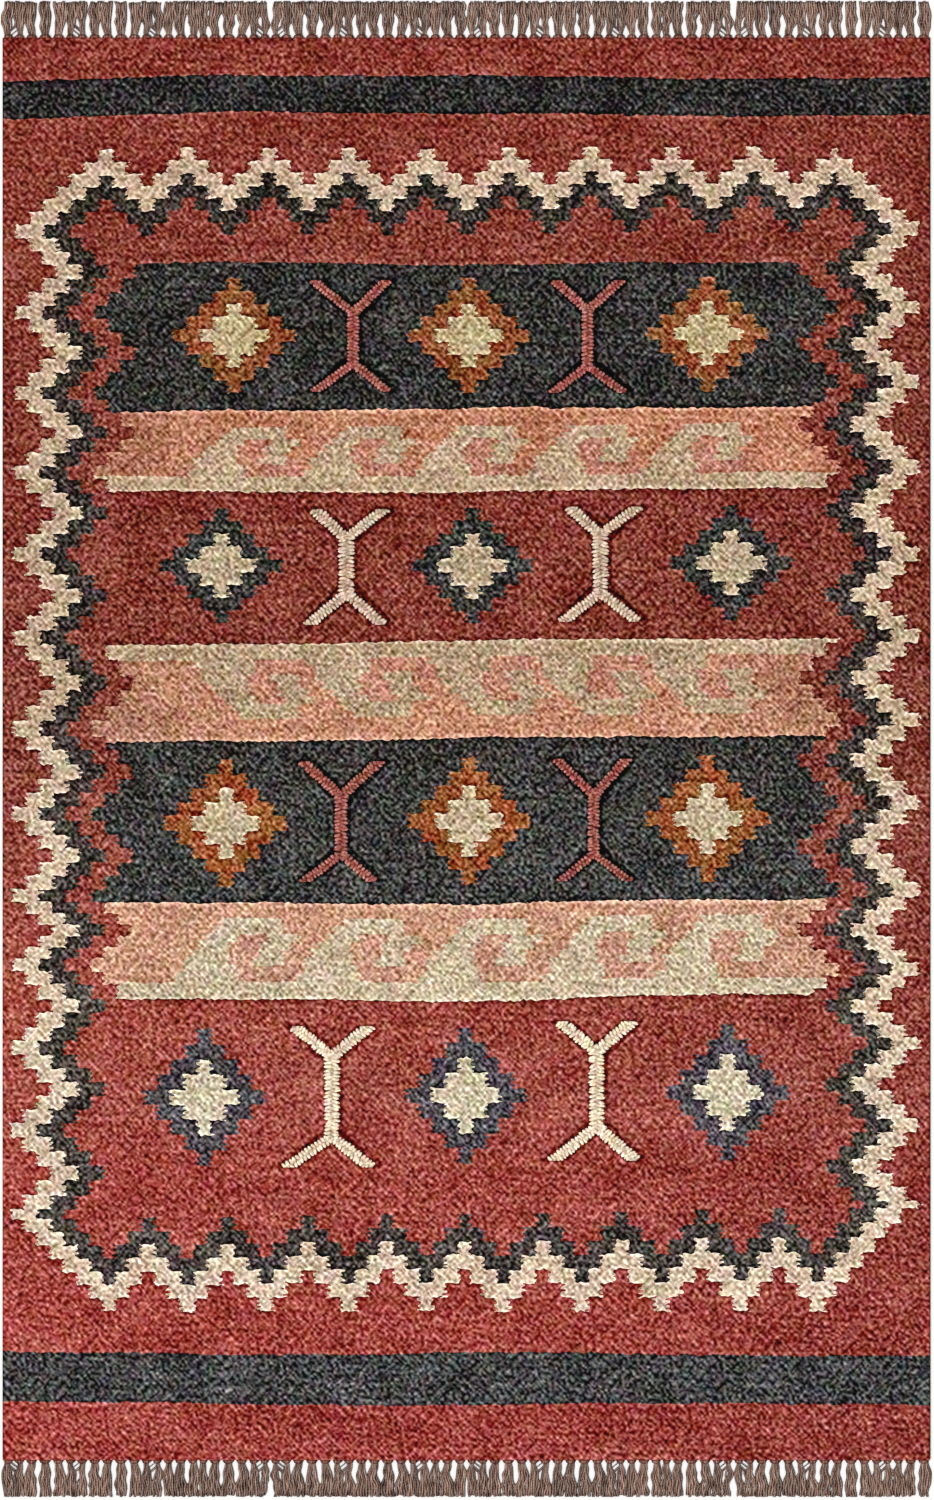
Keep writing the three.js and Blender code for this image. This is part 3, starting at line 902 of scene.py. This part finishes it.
# %% The wool's material
def wool(name):
    """Dyed hand-spun wool: matt, because its fibres scatter the light, with a trace of sheen at the rim."""
    material, node = new_material(name)
    place = node("TexCoord")["Object"]
    crumbs = yarn_crumbs(node, place)
    thread, over_under, chance = beads(node, place)
    to_joint, to_tooth = tooth_distance(node, thread, crumbs)

    # Past the tooth's outline the other yarn shows.
    crossed = node("Math.LESS_THAN", (node("Math.MULTIPLY", (to_joint, to_tooth)), 0.0))
    own = node("Attribute", attribute_name="yarn")["Color"]
    other = node("Attribute", attribute_name="across")["Color"]
    # The node has its sockets once for each kind of data: 0, 6 and 7, and output 2, are those for colours.
    colour = node("Mix", {0: crossed, 6: own, 7: other}, data_type="RGBA")[2]

    own_grey = node("Math.POWER", (node("RGBToBW", (own,)), 1 / SCREEN_POWER))
    other_grey = node("Math.POWER", (node("RGBToBW", (other,)), 1 / SCREEN_POWER))
    paler = node("Math.DIVIDE", (node("Math.SUBTRACT", (own_grey, other_grey)), FULL_CONTRAST))
    paler = node("Math.MAXIMUM", (node("Math.MINIMUM", (paler, 1.0)), -1.0))

    shade = grain(node, place, own_grey, crumbs, over_under, chance)
    shade = lines_and_shadows(node, place, shade, paler, crossed, to_tooth)
    height = node("Math.MULTIPLY_ADD", (crumbs, 3.0, over_under))
    shader = node("BsdfPrincipled", {
        "Base Color": shaded(node, colour, with_lean(node, place, shade)),
        "Normal": node("Bump", {"Height": height, "Strength": 0.7, "Distance": 0.9 * MM}),
        "Roughness": 0.95,
        "Specular IOR Level": 0.06,
        "Sheen Weight": 0.04,
        "Sheen Roughness": 0.6,
    })
    node("OutputMaterial", {"Surface": shader})
    print(f"{name}: {len(material.node_tree.nodes)} nodes")
    return material


woven_wool = wool("hand_spun_wool_weft_faced_weave")
cloth = finished("kilim_cloth", cloth_mesh, [woven_wool])
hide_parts("woven_field")

# %% [markdown]
# ## Many copies of one small shape
#
# A figure is well over a hundred small stitches, and a fringe is hundreds of cords. Each is one template,
# modelled once with few faces and copied many times into one mesh. Only then are the copies stretched and
# bent into place, all at once.

# %% Copies of a template
def copies_of(template, count):
    """A mesh of many copies of a bmesh, and the template's points and the point at each of its corners."""
    shape = bpy.data.meshes.new("template")
    template.to_mesh(shape)
    template.free()
    many = bmesh.new()
    for _ in range(count):
        many.from_mesh(shape)
    mesh = bpy.data.meshes.new("copies")
    many.to_mesh(mesh)
    many.free()
    shape_points = np.array([vertex.co[:] for vertex in shape.vertices])
    shape_corners = np.array([corner.vertex_index for corner in shape.loops])
    bpy.data.meshes.remove(shape)
    return mesh, shape_points, shape_corners


def placed(mesh, coordinates):
    """Puts the copies' points where they belong, in mm, and turns their faces outwards."""
    mesh.vertices.foreach_set("co", (coordinates * MM).ravel())
    bm = bmesh.new()
    bm.from_mesh(mesh)
    bmesh.ops.recalc_face_normals(bm, faces=bm.faces)
    bm.to_mesh(mesh)
    bm.free()
    mesh.shade_smooth()


def write_colours(mesh, colours):
    """Writes one colour for each corner of a mesh."""
    layer = mesh.attributes.new("yarn", "FLOAT_COLOR", "CORNER")
    layer.data.foreach_set("color", colours.ravel())


# %% [markdown]
# ## The wrapped figures
#
# Wrapped yarn lies in short stitches side by side, in two rows along each limb that lean towards each other
# and overlap in its middle. A stitch could be a bent tube, but so little of it shows that a small ball does,
# stretched to its length and half sunk in the cloth.

# %% Where the stitches lie
STITCH_PITCH = 6.2             # mm from one stitch to the next
STITCH_THICKNESS = 7.4         # mm: a little more than the pitch, for the yarn bulges
STITCH_LEAN = 0.25             # radians
STITCH_RISE = 1.5              # mm, how far it stands above the weave
STITCH_HALF_HEIGHT = 2.6       # mm
STITCH_LENGTH = 0.76           # of its limb's width
ROW_OFFSET = 0.16              # of that width, from the limb's middle line to a row's
ROW_STAGGER = 0.25             # of the pitch
BAR_OVERRUN = 8                # mm, how far the bar's stitches run on into the forks
BAR_SHARE = (1.0, 0.96)        # of the outline's width, at a bar's top and at its foot
ARM_SHARE = (0.96, 1.02)       # at an arm's start and at its tip
ARM_START = (0.2, 0.4)         # of the bar's width sideways, and of the way from the notch to the elbow


def figure_stitches(figure):
    """The middle, angle, length and side of each stitch of a figure."""
    x, bar, arm = figure["x"], figure["bar"], figure["arm"]
    top_notch = figure["top"] - figure["up_fork"]
    low_notch = figure["bottom"] + figure["low_fork"]
    widths = [bar * share for share in BAR_SHARE]
    limbs = [(Vector((x, top_notch - BAR_OVERRUN)), Vector((x, low_notch + BAR_OVERRUN)), widths)]
    for name, side, up in ARMS:
        notch, level = (top_notch, figure["top"]) if up > 0 else (low_notch, figure["bottom"])
        start = Vector((x + side * bar * ARM_START[0], notch - up * FORK_TO_ELBOW * ARM_START[1]))
        end = Vector((x + side * (figure[name] - arm / 2), level))
        # An arm is cut off level, so it is narrower square to its run.
        squarely = abs((end - start).normalized().y)
        limbs.append((start, end, [arm * squarely * share for share in ARM_SHARE]))
    stitches = []
    for start, end, (first_width, last_width) in limbs:
        run = end - start
        sideways = Vector((run.y, -run.x)).normalized()
        count = round(run.length / STITCH_PITCH)
        for item in range(count + 1):
            width = first_width + (last_width - first_width) * item / count
            for side in (-1, 1):
                along = (item + ROW_STAGGER * side) / count
                middle = start + run * along + sideways * side * width * ROW_OFFSET
                angle = math.atan2(sideways.y, sideways.x) + side * STITCH_LEAN
                stitches.append((*middle, angle, width * STITCH_LENGTH, side))
    return stitches


# %% The stitches' shapes
LEAN_SPREAD = 0.15             # radians
LENGTH_SPREAD = (0.9, 1.12)
PLACE_SPREAD = 0.4             # mm
THICKNESS_SPREAD = (0.88, 1.08)


def shaped_stitches(stitches, levels, points, random):
    """The coordinates of every stitch's points, in mm. No hand-wrapped stitch is quite like the next."""
    count = len(stitches)
    stitches[:, 2] += random.normal(0, LEAN_SPREAD, count)
    stitches[:, 3] *= random.uniform(*LENGTH_SPREAD, count)
    stitches[:, :2] += random.normal(0, PLACE_SPREAD, (count, 2))
    thickness = STITCH_THICKNESS * random.uniform(*THICKNESS_SPREAD, count)
    along = stitches[:, 3, None] * points[None, :, 0]
    over = thickness[:, None] * points[None, :, 1]
    cos, sin = np.cos(stitches[:, 2, None]), np.sin(stitches[:, 2, None])
    x = stitches[:, 0, None] + along * cos - over * sin
    y = stitches[:, 1, None] + along * sin + over * cos
    y = np.clip(y, levels[:, :1], levels[:, 1:])
    middle_height = CLOTH_THICKNESS + STITCH_RISE - STITCH_HALF_HEIGHT
    z = middle_height + 2 * STITCH_HALF_HEIGHT * points[None, :, 2] + np.zeros((count, 1))
    return np.stack([x, y, z], axis=2)


# %% The stitched pieces
STITCH_TONES = (0.77, 1.0)     # of the yarn's colour
HUE_SPREAD = (0.97, 1.03)      # for red, green and blue each


def wrapped_figures(name, yarn_name, material):
    """All figures of one yarn, as one piece."""
    random = np.random.default_rng(11)
    stitches, levels = [], []
    for figure in FIGURES:
        if figure["yarn"] == yarn_name:
            own_stitches = figure_stitches(figure)
            stitches += own_stitches
            levels += [(figure["bottom"], figure["top"])] * len(own_stitches)
    stitches, levels = np.array(stitches), np.array(levels)
    count = len(stitches)
    template = bmesh.new()
    bmesh.ops.create_uvsphere(template, u_segments=8, v_segments=6, radius=0.5)
    mesh, points, corners = copies_of(template, count)
    placed(mesh, shaped_stitches(stitches, levels, points, random))

    across, down = stitches[:, 0] + RUG_WIDTH / 2, CLOTH_LENGTH / 2 - stitches[:, 1]
    lot = yarn_colour(np.full(count, YARN_NUMBER[yarn_name]), across, down)
    tone = random.uniform(*STITCH_TONES, (count, 1)) * random.uniform(*HUE_SPREAD, (count, 4))
    colours = np.repeat(tone * lot, len(corners), axis=0)
    colours[:, 3] = 1
    write_colours(mesh, colours)
    # Painted light and shade: a stitch is painted palest on its crown and outer end, darkest where the rows
    # meet.
    outer = 2 * stitches[:, 4, None] * points[None, :, 0]
    crown = mesh.attributes.new("crown", "FLOAT", "POINT")
    crown.data.foreach_set("value", (2 * points[None, :, 2] + 0.7 * outer).ravel())
    stitch_map = mesh.uv_layers.new(name="Stitch")
    corner_along = points[corners, 0][None, :] + np.arange(count)[:, None] * 1.7
    corner_over = points[corners, 1][None, :] + np.zeros((count, 1))
    stitch_map.data.foreach_set("uv", np.stack([corner_along, corner_over], axis=2).ravel())
    piece = finished(name, mesh, [material])
    return piece


# %% The wrapped yarn's material
FINE_CRUMBS = 230.0            # about 4 mm


def wrapped_yarn(name):
    """Soft wool yarn in stitches, matt: each has a painted highlight on its crown and painted shade round it.
    """
    material, node = new_material(name)
    place = node("TexCoord")["Object"]
    stretched = node("Mapping", {"Vector": node("UVMap", uv_map="Stitch"), "Scale": (2.0, 6.0, 1.0)})
    fibres = node("TexNoise", {"Vector": stretched, "Scale": 1.0, "Detail": 2.0})["Fac"]
    crown = node("Attribute", attribute_name="crown")["Fac"]
    crumbs = node("TexNoise", {"Vector": place, "Scale": FINE_CRUMBS, "Detail": 1.0})["Fac"]
    # Painted light and shade: light on a stitch's crown and outer end, dark where the rows meet.
    shade = node("Math.MULTIPLY_ADD", (crown, 1.8, -0.9))
    shade = with_swing(node, shade, fibres, 2.8)
    shade = with_swing(node, shade, crumbs, 4.0)
    own = node("Attribute", attribute_name="yarn")["Color"]
    shader = node("BsdfPrincipled", {
        "Base Color": shaded(node, own, with_lean(node, place, shade)),
        "Normal": node("Bump", {"Height": fibres, "Strength": 0.5, "Distance": 0.8 * MM}),
        "Roughness": 0.9,
        "Specular IOR Level": 0.1,
        "Sheen Weight": 0.06,
        "Sheen Roughness": 0.5,
    })
    node("OutputMaterial", {"Surface": shader})
    return material


figure_wool = wrapped_yarn("hand_spun_wool_wrapped_yarn")
red_figures = wrapped_figures("wrapped_figures_red", "figure red", figure_wool)
ivory_figures = wrapped_figures("wrapped_figures_ivory", "figure ivory", figure_wool)

# %% [markdown]
# ## The fringes
#
# When the rug is cut from the loom its warps are left over at both ends. They are gathered into locks, and
# a lock's cords leave the cloth fanned out, draw together at a neck, and spread again until they meet
# the next lock's. Where they don't meet, the floor shows between two locks.
#
# The gaps are tallied along the row, a letter for each kind: a full stop for a short gap at the
# roots, L for a long one and F for one that is open all the way. A w is wide and short, a v and a V open
# again at the tips, and so does an l. At an s and a z four cords cross the gap, leaning as the middle of
# that letter does, and a c is all but closed.

# %% The tally of gaps
FRINGE_LENGTH = 61             # mm
SELVEDGE_REACH = 10.1          # mm from the selvedge to the middle of the first lock
GAP_TALLY = "z.FF.sl.FF.sv.Lc.LL.sVz.LL.sL.LL.sw.Lvz.LL.sL.LL.sw.Fc.FL.sVz.LL.sL.FF.sw.F"
GAP_PLACES = (0, 4, 7, 13, 20, 24, 30, 37, 39, 45, 61)     # mm from the cloth's edge
# The reach is from a gap's middle to the middle of the lock beside it, in mm. The widths are at those places.
GAP_KINDS = {
    ".": {"reach": 9.7, "widths": (11.6, 11.6, 10.4, 7.8, 4.6, 2.6, 0, 0, 0, 0, 0)},
    "s": {"reach": 8.6, "widths": (9, 11.4, 13.4, 11, 5.2, 4.6, 4.4, 0, 0, 0, 0)},
    "c": {"reach": 7.1, "widths": (6, 6, 6, 2.5, 0, 0, 0, 0, 0, 0, 0)},
    "w": {"reach": 9.2, "widths": (12, 12, 12.6, 7.6, 0, 0, 0, 0, 0, 0, 0)},
    "v": {"reach": 9.2, "widths": (12, 12, 12.6, 7.6, 0, 0, 0, 3, 4, 5, 6.5)},
    "V": {"reach": 9.2, "widths": (12, 12, 12.6, 7.6, 2.4, 3.2, 5.4, 8.4, 9, 10.4, 13)},
    "L": {"reach": 11.5, "widths": (10, 10.4, 10.8, 9.6, 9, 8.2, 7, 4.6, 0.5, 0, 0)},
    "l": {"reach": 11.5, "widths": (10, 10.4, 10.8, 9.6, 9, 8.2, 7, 4.6, 0.5, 2, 6)},
    "F": {"reach": 11.5, "widths": (10, 10.4, 10.8, 9.8, 9.2, 8.4, 7.6, 6.4, 6.2, 5.6, 5.6)},
}
GAP_KINDS["z"] = GAP_KINDS["s"]
# Below 0 the outer lock bulges past the selvedge.
SELVEDGE_WIDTHS = (7, 6, 6, 2, -3, -5, -5, -2, -1, 2, 6)
# How far to the right a gap's middle lies at its root and at its neck. The second gap of a pair, and the
# short gap after it, lean the other way.
GAP_LEANS = {".": (0.7, -1.8), "F": (1.2, -1.6), "L": (1.2, -1.2), "l": (0.8, -2.5), "s": (-0.4, 1.7),
             "z": (0.4, -1.7)}
ROOT_TO_TIP = (3, 22, 50)      # mm out: the root, the neck, and where a gap stands straight again
LOCKS = len(GAP_TALLY) + 1

reaches = np.array([SELVEDGE_REACH] + [GAP_KINDS[kind]["reach"] for kind in GAP_TALLY] + [SELVEDGE_REACH])
lock_widths = reaches[1:] + reaches[:-1]
lock_bounds = RUG_WIDTH * (np.concatenate([[0], np.cumsum(lock_widths)]) / lock_widths.sum() - 0.5)
print(f"{LOCKS} locks in each fringe, {lock_widths.mean():.1f} mm wide on average")


def gap_width(count, out):
    """How wide the gap to the left of a lock is, at each distance out from the cloth."""
    at_selvedge = count in (0, LOCKS)
    widths = SELVEDGE_WIDTHS if at_selvedge else GAP_KINDS[GAP_TALLY[count - 1]]["widths"]
    return np.interp(out, GAP_PLACES, widths)


def gap_lean(count, out):
    """How far to the right the middle of that gap lies, at each distance out from the cloth."""
    kind = GAP_TALLY[count - 1] if 0 < count < LOCKS else " "
    before, after = (" " + GAP_TALLY)[max(count - 1, 0)], (GAP_TALLY + " ")[min(count, LOCKS - 1)]
    lean = np.interp(out, ROOT_TO_TIP, (*GAP_LEANS.get(kind, (0, 0)), 0))
    turned = (kind == "." and after not in "FL") or (kind in "FL" and before in "FL")
    return -lean if turned else lean


# %% The cords' paths
CORDS = 5                      # in a lock
CORD_STEPS = 14
CORD_START = 0.3               # mm, the clearance to the cloth's edge
CUT_UNEVENNESS = 3.2           # mm
CORD_WIDTHS = (2.3, 5.2)       # mm, the narrowest and the widest
CORD_OVERLAP = 1.3             # a cord is wider than its share of the lock
HEIGHT_PLACES = (0, 8, 22, FRINGE_LENGTH)    # mm from the cloth's edge
CORD_HEIGHTS = (3.2, 2.9, 2.6, 2.4)          # mm, at those places
FREE_FROM, FREE_REACH = 8, 14  # mm: a cord sways only from here on, and fully that much further out
LOCK_WAVE = 38                 # mm, the length of the wave that a lock sways in
LOCK_SWAYS = (0.6, 1.4)        # mm to each side
CORD_WAVES = (16, 34)          # mm, for each cord's own wave
CORD_SWAYS = (0.4, 1.5)
CORD_CLEARANCE = 0.1           # mm over the floor
TANGLE = 0.5                   # mm, how much higher a cord may lie on its neighbours
TANGLE_FROM, TANGLE_REACH = 6, 10

# The cords that cross a gap, in mm to the right of its middle and out from the cloth.
CROSSING_CORDS = [
    {"from": (-3.5, 22.6), "to": (7.0, 13.2)},
    {"from": (-4.5, 20.4), "to": (7.0, 10.2)},
    {"from": (-8.5, 15.6), "to": (7.5, 3.0)},
    {"from": (-9.5, 8.4), "to": (1.0, 0.2)},
]
CROSSING_SECTION = (2.2, 2.7, 2.6)     # mm: how high its middle lies, its width and its height


def lock_cord(count, cord, share, sway, sway_start, random):
    """One cord of a lock, as rows of across, out, up, width and height."""
    length = FRINGE_LENGTH - CUT_UNEVENNESS * random.random() ** 2
    out = CORD_START + (length - CORD_START) * share
    left = lock_bounds[count] + gap_lean(count, out) + gap_width(count, out) / 2
    right = lock_bounds[count + 1] + gap_lean(count + 1, out) - gap_width(count + 1, out) / 2
    width = np.clip((right - left) / CORDS * CORD_OVERLAP, *CORD_WIDTHS)
    across = left + (cord + 0.5) / CORDS * (right - left)
    free = np.clip((out - FREE_FROM) / FREE_REACH, 0, 1)
    wave = sway * np.sin(2 * math.pi * (out / LOCK_WAVE + sway_start))
    wave = wave + random.uniform(*CORD_SWAYS) * np.sin(
        2 * math.pi * (out / random.uniform(*CORD_WAVES) + random.random()))
    height = np.interp(out, HEIGHT_PLACES, CORD_HEIGHTS)
    tangle = TANGLE * random.random() * np.clip((out - TANGLE_FROM) / TANGLE_REACH, 0, 1)
    up = height / 2 + CORD_CLEARANCE + tangle
    return np.column_stack([across + free * wave, out, up, width, height])


def cord_paths(random):
    """All cords of a fringe: first those of the locks, then those that cross the gaps."""
    paths = []
    share = np.linspace(0, 1, CORD_STEPS + 1) ** 1.5
    for count in range(LOCKS):
        sway, sway_start = random.uniform(*LOCK_SWAYS), random.random()
        paths += [lock_cord(count, cord, share, sway, sway_start, random) for cord in range(CORDS)]
    for count, kind in enumerate(GAP_TALLY, start=1):
        if kind in "sz":
            turn = 1 if kind == "s" else -1
            for crossing in CROSSING_CORDS:
                (x_from, out_from), (x_to, out_to) = crossing["from"], crossing["to"]
                across = lock_bounds[count] + turn * (x_from + (x_to - x_from) * share)
                out = out_from + (out_to - out_from) * share
                section = np.tile(CROSSING_SECTION, (len(out), 1))
                paths.append(np.column_stack([across, out, section]))
    return np.array(paths)


# %% One cord
CORD_SIDES = 6
PLY_PITCH = 5.0                # mm along a cord for one turn of its ply


def cord_template():
    """A straight cord, one unit long and thick, its first point on top."""
    template = bmesh.new()
    bmesh.ops.create_circle(template, cap_ends=True, segments=CORD_SIDES, radius=0.5)
    rim = template.edges[:]
    for _ in range(CORD_STEPS):
        made = bmesh.ops.extrude_edge_only(template, edges=rim)["geom"]
        rim = [item for item in made if isinstance(item, bmesh.types.BMEdge)]
        end_points = [item for item in made if isinstance(item, bmesh.types.BMVert)]
        bmesh.ops.translate(template, verts=end_points, vec=(0, 0, 1 / CORD_STEPS))
    bmesh.ops.contextual_create(template, geom=rim)
    print("open edges of a cord:", sum(1 for edge in template.edges if not edge.is_manifold))
    return template


def write_section(mesh, side, crown, along):
    """Writes on each point how far it is to the side and the top of its cord, and how far along in mm."""
    section = np.stack(np.broadcast_arrays(side, crown, along), axis=2)
    layer = mesh.attributes.new("section", "FLOAT_VECTOR", "POINT")
    layer.data.foreach_set("vector", section.ravel())


# %% The cords of a fringe
CORD_COLOUR = "#6a4f43"
CORD_TONES = (0.5, 1.5)        # of that colour
CROSSING_TONE = 0.6
TIP_TONE = 0.45                # a cord's cut tip is this much darker
OUTER_PAINTED_SHADE = 0.6              # how much darker the outer side of a lock is painted: painted shade at its edge


def fringe_cords(end, paths, random):
    """The mesh of all cords of the fringe at one end."""
    mesh, points, corners = copies_of(cord_template(), len(paths))
    step = np.rint(points[:, 2] * CORD_STEPS).astype(int)
    across, out, up, width, height = (paths[:, step, part] for part in range(5))
    x = across + points[None, :, 0] * width
    y = end * (CLOTH_LENGTH / 2 + out)
    z = up + points[None, :, 1] * height
    placed(mesh, np.stack([x, y, z], axis=2))

    in_locks = LOCKS * CORDS
    tone = random.uniform(*CORD_TONES, len(paths))[:, None] * np.ones(len(corners))
    tone *= np.where(step[corners] == CORD_STEPS, TIP_TONE, 1)
    tone[in_locks:] = CROSSING_TONE
    # Painted shade: the outer half of each lock's first and last cord is darker.
    outer = np.zeros(len(paths))
    outer[:in_locks:CORDS] = -1
    outer[CORDS - 1:in_locks:CORDS] = 1
    tone *= 1 - OUTER_PAINTED_SHADE * np.clip(outer[:, None] * 2 * points[corners, 0], 0, 1)
    colours = tone.reshape(-1, 1) * np.array(linear(CORD_COLOUR))[None, :]
    colours[:, 3] = 1
    write_colours(mesh, colours)
    phase = random.uniform(0, PLY_PITCH, (len(paths), 1))
    write_section(mesh, 2 * points[None, :, 0], 2 * points[None, :, 1], out + phase)
    return mesh


# %% The knots of a fringe
KNOT_COLOUR = "#76554a"
FUZZ_COLOUR = "#84463a"
KNOT_DEPTH = 6.6               # mm out from the cloth
KNOT_HEIGHT = 5.4
KNOT_GAP = 3.0                 # mm between two knots
FUZZ_SHARE = 0.6               # of a knot's depth is covered with the red fuzz of the last picks


def fringe_knots(end):
    """The mesh of the small knots that the locks leave the cloth by: balls, halved along the cloth's edge."""
    template = bmesh.new()
    bmesh.ops.create_uvsphere(template, u_segments=8, v_segments=6, radius=0.5)
    mesh, points, corners = copies_of(template, LOCKS)
    middles = (lock_bounds[1:] + lock_bounds[:-1]) / 2
    spans = lock_bounds[1:] - lock_bounds[:-1] - KNOT_GAP
    x = middles[:, None] + spans[:, None] * points[None, :, 0]
    out = np.maximum(points[None, :, 1] * 2 * end, 0) * KNOT_DEPTH
    y = np.broadcast_to(end * (CLOTH_LENGTH / 2 + CORD_START + out), x.shape)
    z = np.broadcast_to(KNOT_HEIGHT * (0.5 + points[None, :, 2]), x.shape)
    placed(mesh, np.stack([x, y, z], axis=2))

    fuzz = np.clip(1 - out[:, corners] / (KNOT_DEPTH * FUZZ_SHARE), 0, 1)[..., None]
    colours = np.array(linear(KNOT_COLOUR)) * (1 - fuzz) + np.array(linear(FUZZ_COLOUR)) * fuzz
    write_colours(mesh, np.broadcast_to(colours, (LOCKS, len(corners), 4)))
    # A knot's rim passes for a cord's side, so the cord's shader paints it in shade: a dark outline.
    rim = np.hypot(2 * points[:, 0], 2 * points[:, 1])
    write_section(mesh, 0.4 + 0.6 * rim[None, :] ** 3, 2 * points[None, :, 2], x)
    return mesh


# %% The fringe pieces
def warp_fringe(name, end, node_name, material):
    """A whole fringe, cords and knots, in the place of its plain one."""
    random = np.random.default_rng(5 if end > 0 else 6)
    both = bmesh.new()
    for mesh in (fringe_cords(end, cord_paths(random), random), fringe_knots(end)):
        both.from_mesh(mesh)
        bpy.data.meshes.remove(mesh)
    for face in both.faces:
        face.smooth = True
    piece = finished(name, both, [material])
    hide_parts(node_name)
    return piece


# %% The cords' material
FIBRE_SCALE = (420.0, 60.0, 1.0)    # fibres of 2 by 17 mm along the cords


def warp_cord(name):
    """Undyed warp cord, plied hard: slanting ridges around it, as bumps and faint painted shade, and painted
    shade at each cord's sides, between the cords.
    """
    material, node = new_material(name)
    section = node("SeparateXYZ", (node("Attribute", attribute_name="section")["Vector"],))
    side, crown = section["X"], section["Y"]
    turn = node("Math.MULTIPLY", (section["Z"], 2 * math.pi / PLY_PITCH))
    over = node("Math.MULTIPLY", (node("Math.SINE", (turn,)), crown))
    ply = node("Math.ADD", (over, node("Math.MULTIPLY", (node("Math.COSINE", (turn,)), side))))
    stretched = node("Mapping", {"Vector": node("TexCoord")["Object"], "Scale": FIBRE_SCALE})
    fibres = node("TexNoise", {"Vector": stretched, "Scale": 1.0, "Detail": 1.0})["Fac"]
    # Painted light and shade: a cord is painted pale along its top and dark at its sides. Its ply's ridges
    # are painted a little lighter and darker.
    side_shade = node("Math.POWER", (node("Math.ABSOLUTE", (side,)), 1.3))
    shade = node("Math.MULTIPLY_ADD", (side_shade, -2.7, 1.2))
    shade = node("Math.ADD", (shade, node("Math.MULTIPLY", (ply, 0.2))))
    shade = with_swing(node, shade, fibres, 3.8)
    shader = node("BsdfPrincipled", {
        "Base Color": shaded(node, node("Attribute", attribute_name="yarn")["Color"], shade),
        "Normal": node("Bump", {"Height": ply, "Strength": 0.4, "Distance": 0.6 * MM}),
        "Roughness": 0.9,
        "Specular IOR Level": 0.15,
    })
    node("OutputMaterial", {"Surface": shader})
    return material


plied_cord = warp_cord("plied_undyed_warp_cord")
far_fringe = warp_fringe("warp_fringe_far", 1, "fringe_far", plied_cord)
near_fringe = warp_fringe("warp_fringe_near", -1, "fringe_near", plied_cord)
